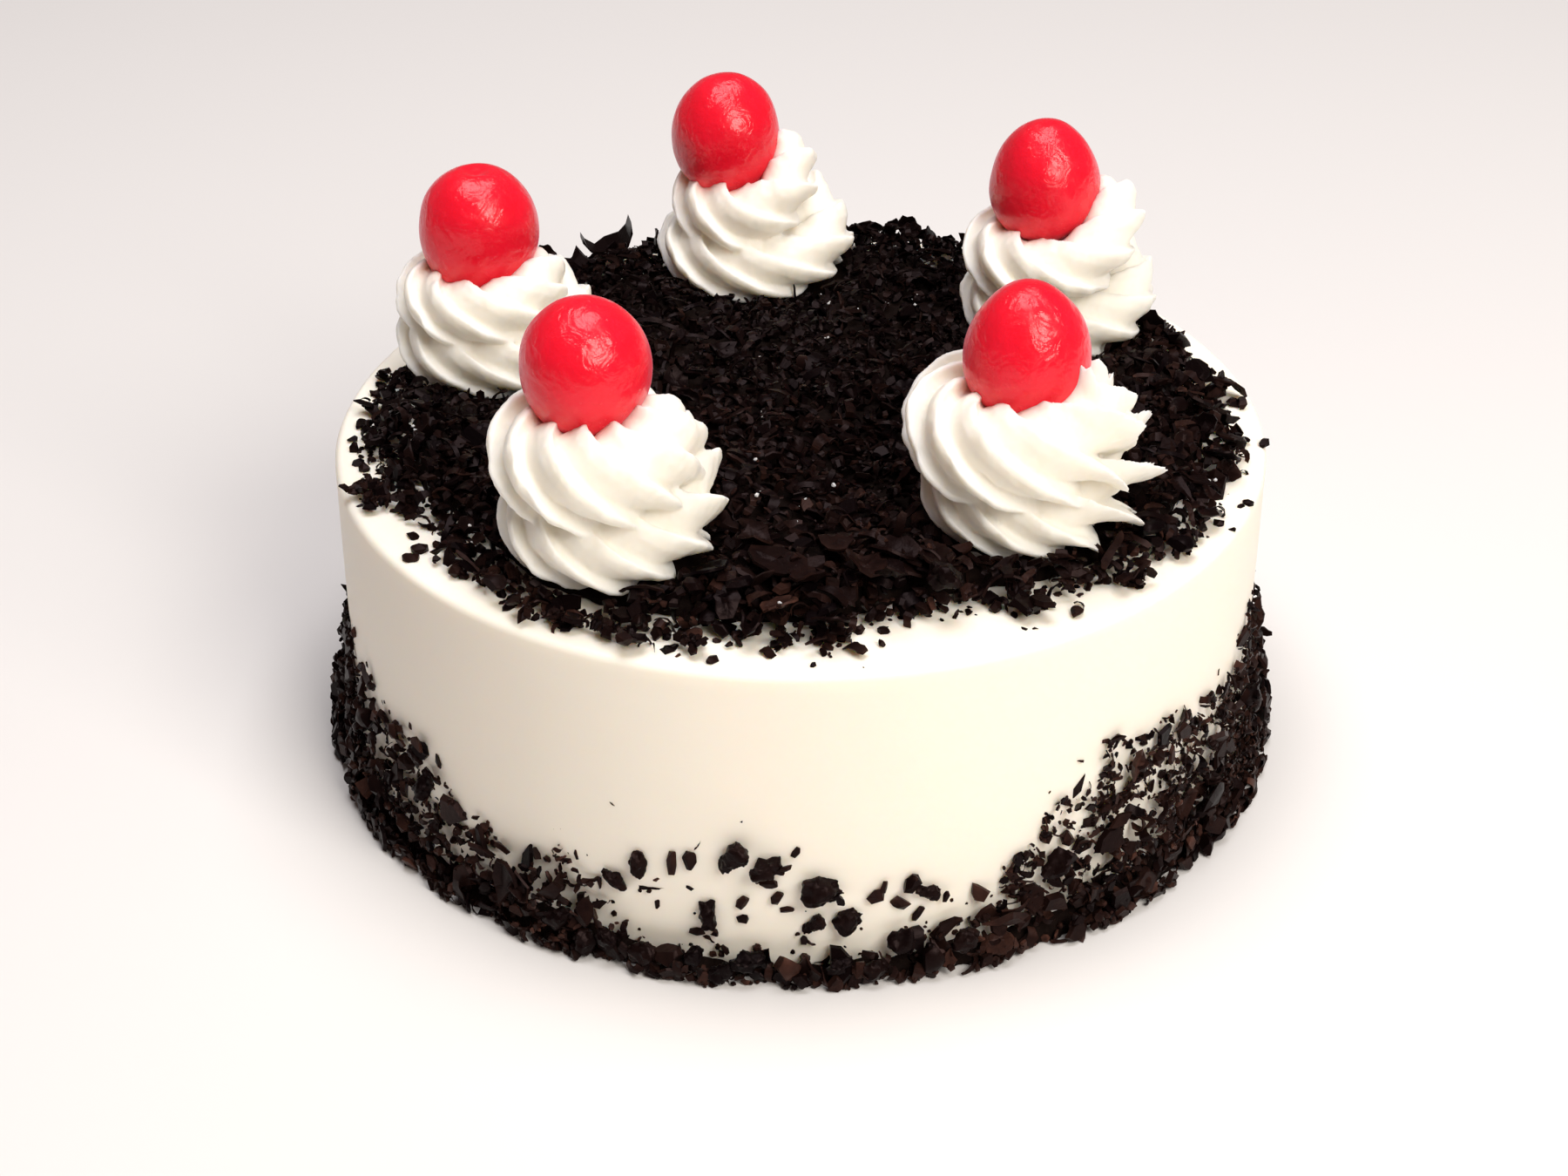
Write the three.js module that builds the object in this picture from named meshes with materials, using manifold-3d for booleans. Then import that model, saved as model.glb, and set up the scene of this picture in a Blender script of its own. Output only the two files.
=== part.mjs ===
// A round black forest cake: a cream-coated cake with a bed of dark chocolate shavings on top, a band of them
// round its foot, and five piped cream rosettes that each carry a cherry.
// Millimetres, +Z up. The origin is the centre of the cake's flat base, and the front is -Y.
import * as THREE from "three";
import { mergeVertices } from "three/addons/utils/BufferGeometryUtils.js";
import Module from "manifold-3d";

const wasm = await Module();
wasm.setup();

const DEGREE = Math.PI / 180;
const FULL_TURN = 2 * Math.PI;
const GAP = 0.3; // clearance between two pieces that touch

// The cream-coated cake.
const CAKE_RADIUS = 82.5;
const CAKE_HEIGHT = 58.7;
const TOP_EDGE_RADIUS = 2.2; // soft upper edge of the cream coat
const BASE_EDGE_RADIUS = 0.8;
const CAKE_SEGMENTS = 64;
const EDGE_STEPS = 3;

// The bed of shavings on top: how far it reaches from the middle at a few bearings, and its thickness.
const BED_REACHES = [
  [-180, 77],
  [-163, 78],
  [-147, 73],
  [-130, 77],
  [-113, 77],
  [-90, 74],
  [-68, 70],
  [-47, 77],
  [-20, 79],
  [10, 80],
  [35, 77],
  [58, 73],
  [78, 77],
  [112, 73],
  [135, 75],
  [165, 77],
];
const BED_RAGGED = 1.1;
const BED_EDGE_THICKNESS = 3.2;
const BED_THICKNESS = 6.2;
const BED_BUMPS = 0.6;
const BED_SEGMENTS = 48;
const BED_RING_SHARES = [0.94, 0.82, 0.66, 0.48, 0.28]; // rings of the bed, as shares of its reach
const SEAT_THICKNESS = 4.5; // shavings left under a rosette
const SEAT_SEGMENTS = 24;

// The band of shavings round the foot: its height at a few bearings, and how far it stands out.
const BAND_HEIGHTS = [
  [-180, 21],
  [-158, 23],
  [-140, 12],
  [-120, 16],
  [-105, 9],
  [-90, 8],
  [-72, 10],
  [-55, 14],
  [-38, 24],
  [-15, 20],
  [10, 22],
  [45, 13],
  [80, 17],
  [115, 12],
  [150, 20],
];
const BAND_FOOT = 5.6; // reach out from the cake's side at the base
const BAND_SHOULDER = 3.6; // reach at half height
const BAND_LIP = 1.5; // thickness at the top
const BAND_RAGGED = 0.9;
const BAND_SEGMENTS = 60;

// Piped rosettes: a rope of cream from a star nozzle, laid in two rings, one on the other, with slanted
// ridges.
const RIDGES = 13; // ridges round one ring
const COLUMNS_PER_RIDGE = 4; // crest, flank, groove, flank
const ROPE_SHARE = 0.2; // mean radius of the rope, as a share of the rosette's width
const RIDGE_DEPTH = 0.17; // half the crest-to-groove depth, as a share of the rope's radius
const RIDGE_LEAN = 0.4; // how far a crest hangs over the groove below it, in columns
const RIDGE_SLANT = 0.62; // turn of a ridge round the rosette for each turn round the rope
const RING_NARROWING = 0.035; // how much smaller the upper ring is, as a share of the rosette's width
const RING_DRIFT = 0.4; // how far the upper ring has drifted off centre, as a share of the cherry's offset
const FOOT_ANGLE = -64; // where the rope meets the seat; 0 points straight out from the rosette's axis
const CROWN_ANGLE = 80; // where the top of the rope gives way to the cherry's hollow
const LOWER_STEPS = 3;
const UPPER_STEPS = 4;
const PEAK_BEARING = 20; // side on which the end of the piping stands up beside the cherry

// Cherries.
const CHERRY_SEGMENTS = 16;
const CHERRY_STEPS = 8;
const CHERRY_TAPER = 0.07; // how much the top narrows

// Each rosette by the bearing and distance of its centre, its width, the height of its cream, the extra height
// of its peak and the turn of its ridges. Its cherry has a place over the rosette's centre, a lift above the
// rosette's foot, a width and a height.
const ROSETTES = [
  {
    name: "front_left",
    bearing: -122.6,
    distance: 57.7,
    width: 40,
    height: 26,
    peak: 0.6,
    turn: 0,
    cherry: { x: -3.3, y: 1.6, lift: 31.5, width: 21.6, height: 23.4 },
  },
  {
    name: "front_right",
    bearing: -47.2,
    distance: 54.4,
    width: 41,
    height: 25,
    peak: 1.6,
    turn: 11,
    cherry: { x: -0.4, y: 1.6, lift: 29.8, width: 21.4, height: 24 },
  },
  {
    name: "back_right",
    bearing: 33.5,
    distance: 58.2,
    width: 36.6,
    height: 21,
    peak: 7.4,
    turn: 5,
    cherry: { x: -3.5, y: 1.6, lift: 28, width: 20.6, height: 23.2 },
  },
  {
    name: "back",
    bearing: 97.5,
    distance: 58.6,
    width: 38.4,
    height: 20,
    peak: 7,
    turn: 17,
    cherry: { x: -6, y: 1.6, lift: 26.4, width: 21, height: 23.6 },
  },
  {
    name: "back_left",
    bearing: 160.8,
    distance: 57.9,
    width: 37.2,
    height: 19.2,
    peak: 2.2,
    turn: 23,
    cherry: { x: -2.8, y: 1.6, lift: 24.6, width: 21.6, height: 23.2 },
  },
];

const CREAM = new THREE.MeshStandardMaterial({ color: 0xf8f2e6, roughness: 0.5 });
const CHOCOLATE = new THREE.MeshStandardMaterial({ color: 0x2a1a15, roughness: 0.75 });
const CHERRY_RED = new THREE.MeshStandardMaterial({ color: 0xd4182a, roughness: 0.25 });

// A smooth ripple round the cake, from -1 to 1, that never repeats in one turn. A seed picks the ripple.
function ripple(angle, seed) {
  let sum = 0;
  for (let wave = 1; wave <= 3; wave += 1) {
    const bumps = 3 * wave + 2 + (seed % 3);
    sum += Math.sin(bumps * angle + seed * wave * 1.9) / wave;
  }
  return sum / 1.84;
}

// A size that changes round the cake, eased between the bearings it is listed at. The first bearing is -180.
function sizeAt(listed, angle) {
  const degrees = THREE.MathUtils.euclideanModulo(angle / DEGREE + 180, 360) - 180;
  const next = listed.findIndex(([bearing]) => bearing > degrees);
  const [fromBearing, fromSize] = listed.at(next === -1 ? -1 : next - 1);
  const [toBearing, toSize] = next === -1 ? [180, listed[0][1]] : listed[next];
  const share = THREE.MathUtils.smoothstep(degrees, fromBearing, toBearing);
  return THREE.MathUtils.lerp(fromSize, toSize, share);
}

// A closed skin over stacked rings of points, each ring running the same way round the Z axis, lowest ring
// first. With caps it is closed by one point below and one above; without, the last ring joins the first.
function skinOver(rings, caps) {
  const columns = rings[0].length;
  const points = rings.flat();
  const triangles = [];
  const corner = (ring, column) => (ring % rings.length) * columns + (column % columns);
  const bands = caps ? rings.length - 1 : rings.length;
  for (let ring = 0; ring < bands; ring += 1) {
    for (let column = 0; column < columns; column += 1) {
      const a = corner(ring, column);
      const b = corner(ring, column + 1);
      const c = corner(ring + 1, column + 1);
      const d = corner(ring + 1, column);
      triangles.push(a, b, c, a, c, d);
    }
  }
  if (caps) {
    const below = points.push(caps.below) - 1;
    const above = points.push(caps.above) - 1;
    for (let column = 0; column < columns; column += 1) {
      triangles.push(below, corner(0, column + 1), corner(0, column));
      triangles.push(above, corner(rings.length - 1, column), corner(rings.length - 1, column + 1));
    }
  }
  const geometry = new THREE.BufferGeometry().setFromPoints(points);
  geometry.setIndex(triangles);
  return geometry;
}

// A ring of points round the Z axis, where place gives the radius, height and angle of each column.
function ringOf(columns, place) {
  return Array.from({ length: columns }, (_, column) => {
    const { radius, height, angle } = place((column / columns) * FULL_TURN, column);
    return new THREE.Vector3(radius * Math.cos(angle), radius * Math.sin(angle), height);
  });
}

function solidOf(geometry) {
  const bare = geometry.clone();
  bare.deleteAttribute("normal");
  bare.deleteAttribute("uv");
  const merged = mergeVertices(bare, 1e-4);
  return new wasm.Manifold(
    new wasm.Mesh({
      numProp: 3,
      vertProperties: merged.getAttribute("position").array,
      triVerts: new Uint32Array(merged.index.array),
    }),
  );
}

function geometryOf(solid) {
  const { vertProperties, triVerts } = solid.getMesh();
  const geometry = new THREE.BufferGeometry();
  geometry.setAttribute("position", new THREE.BufferAttribute(vertProperties, 3));
  geometry.setIndex(new THREE.BufferAttribute(triVerts, 1));
  geometry.computeVertexNormals();
  return geometry;
}

function named(name, geometry, material) {
  const mesh = new THREE.Mesh(geometry, material);
  mesh.name = name;
  return mesh;
}

// Points along a quarter round of the cake's profile, in (radius, height).
function quarterRound(centreRadius, centreHeight, size, fromDegrees, toDegrees) {
  return Array.from({ length: EDGE_STEPS + 1 }, (_, step) => {
    const angle = THREE.MathUtils.lerp(fromDegrees, toDegrees, step / EDGE_STEPS) * DEGREE;
    return new THREE.Vector2(
      centreRadius + size * Math.cos(angle),
      centreHeight + size * Math.sin(angle),
    );
  });
}

// The cake is one solid of revolution, because it is uncut.
function cake() {
  const profile = [
    new THREE.Vector2(0, 0),
    new THREE.Vector2(CAKE_RADIUS - BASE_EDGE_RADIUS, 0),
    new THREE.Vector2(CAKE_RADIUS, BASE_EDGE_RADIUS),
    ...quarterRound(CAKE_RADIUS - TOP_EDGE_RADIUS, CAKE_HEIGHT - TOP_EDGE_RADIUS, TOP_EDGE_RADIUS, 0, 90),
    new THREE.Vector2(0, CAKE_HEIGHT),
  ];
  const geometry = new THREE.LatheGeometry(profile, CAKE_SEGMENTS);
  geometry.rotateX(90 * DEGREE); // three.js turns a lathe about Y
  return named("cake", geometry, CREAM);
}

// The bed of shavings: a ragged, bumpy layer, with a flat pressed seat under each rosette.
function shavingsTop() {
  const reach = (angle) => sizeAt(BED_REACHES, angle) + BED_RAGGED * ripple(2 * angle, 1);
  const ringAt = (share, thickness) =>
    ringOf(BED_SEGMENTS, (angle) => ({
      radius: share * reach(angle),
      height: CAKE_HEIGHT + thickness(angle),
      angle,
    }));
  const rings = [
    ringAt(1, () => 0),
    ringAt(0.99, () => BED_EDGE_THICKNESS),
    ...BED_RING_SHARES.map((share, index) =>
      ringAt(share, (angle) => BED_THICKNESS + BED_BUMPS * ripple(angle, index + 2)),
    ),
  ];
  const caps = {
    below: new THREE.Vector3(0, 0, CAKE_HEIGHT),
    above: new THREE.Vector3(0, 0, CAKE_HEIGHT + BED_THICKNESS + BED_BUMPS),
  };
  let bed = solidOf(skinOver(rings, caps));
  for (const rosette of ROSETTES) {
    const depth = 2 * BED_THICKNESS; // well clear above the bed
    const seat = new THREE.CylinderGeometry(
      rosetteReach(rosette) + GAP,
      rosetteReach(rosette) + GAP,
      depth,
      SEAT_SEGMENTS,
    );
    seat.rotateX(90 * DEGREE);
    const centre = rosetteCentre(rosette);
    seat.translate(centre.x, centre.y, centre.z + depth / 2);
    bed = bed.subtract(solidOf(seat));
  }
  return named("shavings_top", geometryOf(bed), CHOCOLATE);
}

// The band of shavings round the foot: a ring against the cake's side, thick below and thin above.
function shavingsSide() {
  const inner = CAKE_RADIUS + GAP;
  const ring = (reach, share, seed) =>
    ringOf(BAND_SEGMENTS, (angle) => ({
      radius: inner + reach + (seed ? BAND_RAGGED * ripple(angle, seed) : 0),
      height: share * (sizeAt(BAND_HEIGHTS, angle) + BAND_RAGGED * ripple(2 * angle, 5)),
      angle,
    }));
  const rings = [
    ring(0, 0, 0),
    ring(BAND_FOOT, 0, 1),
    ring(BAND_FOOT, 0.14, 2),
    ring(BAND_SHOULDER, 0.55, 3),
    ring(BAND_LIP, 1, 0),
    ring(0, 1, 0),
  ];
  return named("shavings_side", skinOver(rings, null), CHOCOLATE);
}

// A rosette's foot stands on its pressed seat in the bed.
function rosetteCentre({ bearing, distance }) {
  return new THREE.Vector3(
    distance * Math.cos(bearing * DEGREE),
    distance * Math.sin(bearing * DEGREE),
    CAKE_HEIGHT + SEAT_THICKNESS,
  );
}

function rosetteReach({ width }) {
  return width / 2;
}

// Places round the rope from one angle to another, both ends included.
function ropeAngles(fromDegrees, toDegrees, steps) {
  return Array.from({ length: steps + 1 }, (_, step) =>
    THREE.MathUtils.lerp(fromDegrees, toDegrees, step / steps),
  );
}

// The piped cream of one rosette, standing on the origin. Its skin follows the outside of the lower ring of
// rope up to the crease, then the outside of the upper ring to its crown.
function rosetteGeometry({ width, height, peak, turn, cherry }) {
  const rope = width * ROPE_SHARE;
  const lower = {
    radius: width / 2 - rope * (1 + RIDGE_DEPTH),
    level: -rope * Math.sin(FOOT_ANGLE * DEGREE),
    drift: new THREE.Vector3(),
  };
  const upper = {
    radius: lower.radius - width * RING_NARROWING,
    level: height - rope,
    drift: new THREE.Vector3(cherry.x * RING_DRIFT, cherry.y * RING_DRIFT, 0),
  };
  const crease = Math.asin((upper.level - lower.level) / (2 * rope)) / DEGREE;
  const profile = [
    ...ropeAngles(FOOT_ANGLE, crease, LOWER_STEPS).map((degrees) => ({ ...lower, degrees, rise: 0 })),
    ...ropeAngles(-crease, CROWN_ANGLE, UPPER_STEPS).map((degrees, step) => ({
      ...upper,
      degrees,
      rise: (peak * step) / UPPER_STEPS,
    })),
  ];
  const columns = RIDGES * COLUMNS_PER_RIDGE;
  let slant = turn * DEGREE;
  let before = FOOT_ANGLE;
  const rings = profile.map(({ radius, level, drift, degrees, rise }, index) => {
    slant += Math.max(degrees - before, 0) * DEGREE * -RIDGE_SLANT;
    before = degrees;
    const ring = ringOf(columns, (around, column) => {
      const place = column % COLUMNS_PER_RIDGE;
      const size = rope * (1 + RIDGE_DEPTH * Math.cos((place / COLUMNS_PER_RIDGE) * FULL_TURN));
      const lean = place === 0 ? (-RIDGE_LEAN * FULL_TURN) / columns : 0;
      const angle = around + slant + lean;
      const towardsPeak = Math.max(Math.cos(angle - PEAK_BEARING * DEGREE), 0) ** 2;
      return {
        radius: radius + size * Math.cos(degrees * DEGREE),
        height: index === 0 ? 0 : level + size * Math.sin(degrees * DEGREE) + rise * towardsPeak,
        angle,
      };
    });
    return ring.map((point) => point.add(drift));
  });
  return skinOver(rings, {
    below: new THREE.Vector3(0, 0, 0),
    above: new THREE.Vector3(0, 0, height),
  });
}

// A cherry about its own centre: an egg that narrows a little towards the top, larger all round by a margin.
function cherryGeometry({ width, height }, margin) {
  const profile = Array.from({ length: CHERRY_STEPS + 1 }, (_, step) => {
    const angle = -90 + (180 * step) / CHERRY_STEPS;
    const rise = Math.sin(angle * DEGREE);
    const radius = (width / 2 + margin) * Math.cos(angle * DEGREE) * (1 - CHERRY_TAPER * rise);
    const ends = step === 0 || step === CHERRY_STEPS;
    return new THREE.Vector2(ends ? 0 : radius, (height / 2 + margin) * rise);
  });
  const geometry = new THREE.LatheGeometry(profile, CHERRY_SEGMENTS);
  geometry.rotateX(90 * DEGREE);
  return geometry;
}

// The cream of a rosette with the hollow that its cherry has pressed into it, and the cherry itself.
function rosetteWithCherry(rosette) {
  const group = new THREE.Group();
  group.position.copy(rosetteCentre(rosette));
  const { x, y, lift } = rosette.cherry;
  const hollow = cherryGeometry(rosette.cherry, GAP).translate(x, y, lift);
  const cream = solidOf(rosetteGeometry(rosette)).subtract(solidOf(hollow));
  group.add(named(`rosette_${rosette.name}`, geometryOf(cream), CREAM));
  const cherry = named(`cherry_${rosette.name}`, cherryGeometry(rosette.cherry, 0), CHERRY_RED);
  cherry.position.set(x, y, lift);
  group.add(cherry);
  return group;
}

const blackForestCake = new THREE.Group();
blackForestCake.add(cake(), shavingsTop(), shavingsSide());
for (const rosette of ROSETTES) blackForestCake.add(rosetteWithCherry(rosette));

export default blackForestCake;
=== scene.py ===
"""A black forest cake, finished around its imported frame.

A round sponge under a smoothed coat of whipped cream, with a bed of dark chocolate flakes on top, a band of
them pressed on round the foot, and five rosettes of piped cream that each carry a glace cherry.
"""

import math

import bmesh
import bpy
import numpy as np
from mathutils import Matrix, Vector, noise
from mathutils.bvhtree import BVHTree

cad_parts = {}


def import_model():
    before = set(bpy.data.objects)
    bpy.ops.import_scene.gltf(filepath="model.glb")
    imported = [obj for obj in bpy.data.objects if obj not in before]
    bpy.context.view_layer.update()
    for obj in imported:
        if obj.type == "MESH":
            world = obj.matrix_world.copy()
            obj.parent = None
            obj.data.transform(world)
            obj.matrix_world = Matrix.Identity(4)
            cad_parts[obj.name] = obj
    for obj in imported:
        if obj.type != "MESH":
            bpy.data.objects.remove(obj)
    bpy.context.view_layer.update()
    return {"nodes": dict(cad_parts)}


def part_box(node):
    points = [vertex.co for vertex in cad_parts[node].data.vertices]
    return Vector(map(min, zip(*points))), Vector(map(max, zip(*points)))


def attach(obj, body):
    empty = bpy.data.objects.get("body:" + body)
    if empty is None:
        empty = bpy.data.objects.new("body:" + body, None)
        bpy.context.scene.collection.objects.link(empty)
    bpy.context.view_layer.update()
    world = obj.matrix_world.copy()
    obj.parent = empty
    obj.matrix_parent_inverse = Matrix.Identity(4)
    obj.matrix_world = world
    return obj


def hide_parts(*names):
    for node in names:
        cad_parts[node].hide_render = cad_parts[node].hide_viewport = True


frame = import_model()

MM = 0.001

# The cream-coated cake.
CAKE_RADIUS = 82.5 * MM
CAKE_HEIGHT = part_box("cake")[1].z
TOP_EDGE = 1.4 * MM  # radius of the soft upper edge of the coat
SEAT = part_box("rosette_front_left")[0].z  # the height that the rosettes stand at

# Piping: a rope of cream from a star nozzle, laid in two turns, one on the other. One ridge of the rope is a
# lip that leans over a groove: share of the way to the next ridge, and height against the usual one.
TOOTH = (
    (0.055, -1.0), (0.02, -0.5), (-0.07, 0.4), (-0.12, 1.0), (-0.09, 1.14), (0.05, 0.94), (0.22, 0.74),
    (0.42, 0.46), (0.62, 0.08), (0.78, -0.38), (0.93, -0.85),
)
STEP = math.radians(4)  # the turn from one section of the rope to the next
ROPE_START = math.radians(-25)
ROPE_TURNS = 2.2

# Each rosette: bearing and distance of its centre, width, height of its cream without the peak, and the extra
# height of the peak. Its rope: radius to the crests in the lower and the upper turn, width of the lower turn
# (foot) and of the upper one (top) as a share of the whole, half the depth of the ridges as a share of the
# radius, how much deeper they are on the right (fins) and how pointed there, the number of ridges, how often
# the rope turns about itself in one round, how far it is turned to begin with, how far the upper turn leans
# towards the cherry, and how far its end is drawn inwards.
ROSETTES = {
    "front_left": dict(bearing=-122.6, distance=57.7, width=39, height=26, peak=0.6, low=7.2, high=8.6,
                       foot=0.94, top=1.0, depth=0.17, fins=1.4, points=0.1, teeth=5, twist=2.1, turned=0,
                       lean=0.1, inward=0.3),
    "front_right": dict(bearing=-47.2, distance=54.4, width=41, height=25, peak=1.6, low=6.9, high=8.9,
                        foot=0.84, top=1.0, depth=0.17, fins=3.0, points=0.9, teeth=6, twist=1.75, turned=11,
                        lean=0.4, inward=0.3),
    "back_right": dict(bearing=33.5, distance=58.2, width=36.6, height=21, peak=8.4, low=6.2, high=6.7,
                       foot=1.0, top=1.0, depth=0.18, fins=0.7, points=0.3, teeth=5, twist=1.75, turned=5,
                       lean=0.0, inward=0.3),
    "back": dict(bearing=97.5, distance=58.6, width=38.4, height=20, peak=8.2, low=6.2, high=6.9,
                 foot=1.0, top=0.88, depth=0.18, fins=0.8, points=0.2, teeth=5, twist=1.7, turned=17,
                 lean=0.0, inward=0.56),
    "back_left": dict(bearing=160.8, distance=57.9, width=37.2, height=19.2, peak=2.2, low=6.1, high=6.2,
                      foot=1.0, top=0.95, depth=0.18, fins=0.9, points=0.1, teeth=5, twist=1.85, turned=23,
                      lean=0.2, inward=0.35),
}

# Each cherry: how much it narrows upwards, how square its shoulders are, and the depth of its stem scar in
# millimetres.
CHERRIES = {
    "front_left": dict(taper=0.03, shoulders=0.02, dimple=0),
    "front_right": dict(taper=0.16, shoulders=0.0, dimple=0),
    "back_right": dict(taper=0.14, shoulders=0.0, dimple=0),
    "back": dict(taper=0.06, shoulders=0.03, dimple=0),
    "back_left": dict(taper=0.02, shoulders=0.1, dimple=1.2),
}


# ---------------------------------------------------------------- modelling


def fresh():
    """Starts a new piece with nothing selected."""
    if bpy.context.mode != "OBJECT":
        bpy.ops.object.mode_set(mode="OBJECT")
    bpy.ops.object.select_all(action="DESELECT")


def only(obj):
    """Makes one object the selected and active one."""
    fresh()
    obj.select_set(True)
    bpy.context.view_layer.objects.active = obj


def edit(obj):
    only(obj)
    bpy.ops.object.mode_set(mode="EDIT")


def done():
    bpy.ops.object.mode_set(mode="OBJECT")


def added(name):
    """Names the object that was just added, and puts its place in its mesh."""
    obj = bpy.context.active_object
    obj.name = name
    obj.data.name = name
    bpy.ops.object.transform_apply(location=True, rotation=True, scale=True)
    return obj


def pick(obj, test):
    """In edit mode, selects the points that pass the test, and nothing else."""
    bm = bmesh.from_edit_mesh(obj.data)
    bpy.ops.mesh.select_all(action="DESELECT")
    bpy.ops.mesh.select_mode(type="VERT")
    for point in bm.verts:
        if test(point):
            point.select_set(True)
    bm.select_flush_mode()
    bmesh.update_edit_mesh(obj.data)


def everything():
    """In edit mode, selects the whole piece."""
    bpy.ops.mesh.select_all(action="SELECT")


def extrude(value):
    bpy.ops.mesh.extrude_region_move(TRANSFORM_OT_translate={"value": value})


def turn(angle, axis, centre):
    """Turns the selection counterclockwise; with no window the operator turns the other way."""
    bpy.ops.transform.rotate(value=-angle, orient_axis=axis, center_override=centre)


def scale(value, centre):
    bpy.ops.transform.resize(value=value, center_override=centre)


def shift(value):
    bpy.ops.transform.translate(value=value)


def modify(obj, kind, **settings):
    """Adds a modifier with its settings and applies it."""
    only(obj)
    modifier = obj.modifiers.new(kind.title(), kind)
    for key, value in settings.items():
        setattr(modifier, key, value)
    bpy.ops.object.modifier_apply(modifier=modifier.name)


def uneven(obj, name, lumps, strength, depth=2):
    """Pushes the surface in and out by up to half the strength, in soft lumps of about that size."""
    texture = bpy.data.textures.new(name, "CLOUDS")
    texture.noise_scale = lumps
    texture.noise_depth = depth
    modify(obj, "DISPLACE", texture=texture, strength=strength, mid_level=0.5, texture_coords="LOCAL")


def read_points(obj):
    """The mesh's points, one row for each."""
    points = np.empty(3 * len(obj.data.vertices), dtype=np.float32)
    obj.data.vertices.foreach_get("co", points)
    return points.reshape(-1, 3).astype(float)


def write_points(obj, points):
    obj.data.vertices.foreach_set("co", points.astype(np.float32).ravel())
    obj.data.update()


def tidy_normals(obj):
    edit(obj)
    everything()
    bpy.ops.mesh.normals_make_consistent(inside=False)
    done()


def smooth(obj):
    only(obj)
    bpy.ops.object.shade_smooth()


def cut_flat(obj, height):
    """Cuts away what lies below a height, and closes the cut."""
    edit(obj)
    everything()
    bpy.ops.mesh.bisect(plane_co=(0, 0, height), plane_no=(0, 0, 1), use_fill=True, clear_inner=True,
                        threshold=0.001 * MM)
    done()


# ---------------------------------------------------------------- materials


def srgb(colour):
    """The linear colour of an sRGB hex value."""
    parts = [int(colour[at : at + 2], 16) / 255 for at in (1, 3, 5)]
    linear = [c / 12.92 if c <= 0.04045 else ((c + 0.055) / 1.055) ** 2.4 for c in parts]
    return (*linear, 1.0)


def blank(name):
    """A new material with an empty node tree, and its tree."""
    material = bpy.data.materials.new(name)
    material.use_nodes = True
    material.node_tree.nodes.clear()
    return material, material.node_tree


def add(tree, kind, settings=None, **inputs):
    """Adds a node. An input that is another node's output is linked, and any other value is set."""
    node = tree.nodes.new("ShaderNode" + kind)
    for key, value in (settings or {}).items():
        setattr(node, key, value)
    for key, value in inputs.items():
        numbered = key.startswith("at") and key[2:].isdigit()
        socket = node.inputs[int(key[2:]) if numbered else key.replace("_", " ")]
        if isinstance(value, bpy.types.NodeSocket):
            tree.links.new(value, socket)
        else:
            socket.default_value = value
    return node


def smoothed_whipped_cream():
    """Whipped cream pulled smooth with a palette knife: soft, milky and almost matt, faintly streaked."""
    material, tree = blank("smoothed_whipped_cream")
    place = add(tree, "TexCoord").outputs["Object"]
    # The knife is drawn round the cake, so its streaks are 30 mm long there and only 3 mm apart upwards. The
    # real pores are too fine to show, so they are drawn 1 mm wide. The tone drifts over 70 mm.
    flat = add(tree, "Mapping", Vector=place, Scale=(1, 1, 9)).outputs["Vector"]
    streaks = add(tree, "TexNoise", Vector=flat, Scale=35.0, Detail=3.0, Roughness=0.5)
    pores = add(tree, "TexNoise", Vector=place, Scale=900.0, Detail=1.0)
    both = add(tree, "Math", {"operation": "MULTIPLY_ADD"}, at0=pores.outputs["Fac"], at1=0.06,
               at2=streaks.outputs["Fac"])
    bump = add(tree, "Bump", Height=both.outputs["Value"], Strength=0.25, Distance=0.4 * MM)
    drift = add(tree, "TexNoise", Vector=place, Scale=14.0, Detail=2.0)
    colour = add(tree, "Mix", {"data_type": "RGBA"}, at0=drift.outputs["Fac"], at6=srgb("#fbf3e6"),
                 at7=srgb("#f8eee0"))
    shader = add(tree, "BsdfPrincipled", Base_Color=colour.outputs[2], Roughness=0.5, IOR=1.45,
                 Subsurface_Weight=0.5, Subsurface_Radius=(1.0, 0.8, 0.6), Subsurface_Scale=3 * MM,
                 Specular_IOR_Level=0.35, Normal=bump.outputs["Normal"])
    add(tree, "OutputMaterial", Surface=shader.outputs["BSDF"])
    return material


def piped_whipped_cream():
    """Whipped cream straight from the nozzle: a touch glossier than the coat, faintly red by the cherry."""
    material, tree = blank("piped_whipped_cream")
    place = add(tree, "TexCoord").outputs["Object"]
    # The bubbles are too fine to show, so their grain is drawn 1.4 mm wide. The syrup lies in 4 mm patches.
    grain = add(tree, "TexNoise", Vector=place, Scale=700.0, Detail=2.0)
    bump = add(tree, "Bump", Height=grain.outputs["Fac"], Strength=0.15, Distance=0.15 * MM)
    near = add(tree, "Attribute", {"attribute_name": "near_cherry"})
    patches = add(tree, "TexNoise", Vector=place, Scale=250.0, Detail=1.0)
    uneven = add(tree, "Math", {"operation": "MULTIPLY"}, at0=near.outputs["Fac"], at1=patches.outputs["Fac"])
    colour = add(tree, "Mix", {"data_type": "RGBA"}, at0=uneven.outputs["Value"], at6=srgb("#f3efe5"),
                 at7=srgb("#f0a9a8"))
    shader = add(tree, "BsdfPrincipled", Base_Color=colour.outputs[2], Roughness=0.45, IOR=1.45,
                 Subsurface_Weight=0.8, Subsurface_Radius=(1.0, 0.9, 0.75), Subsurface_Scale=3 * MM,
                 Specular_IOR_Level=0.35, Normal=bump.outputs["Normal"])
    add(tree, "OutputMaterial", Surface=shader.outputs["BSDF"])
    return material


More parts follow.
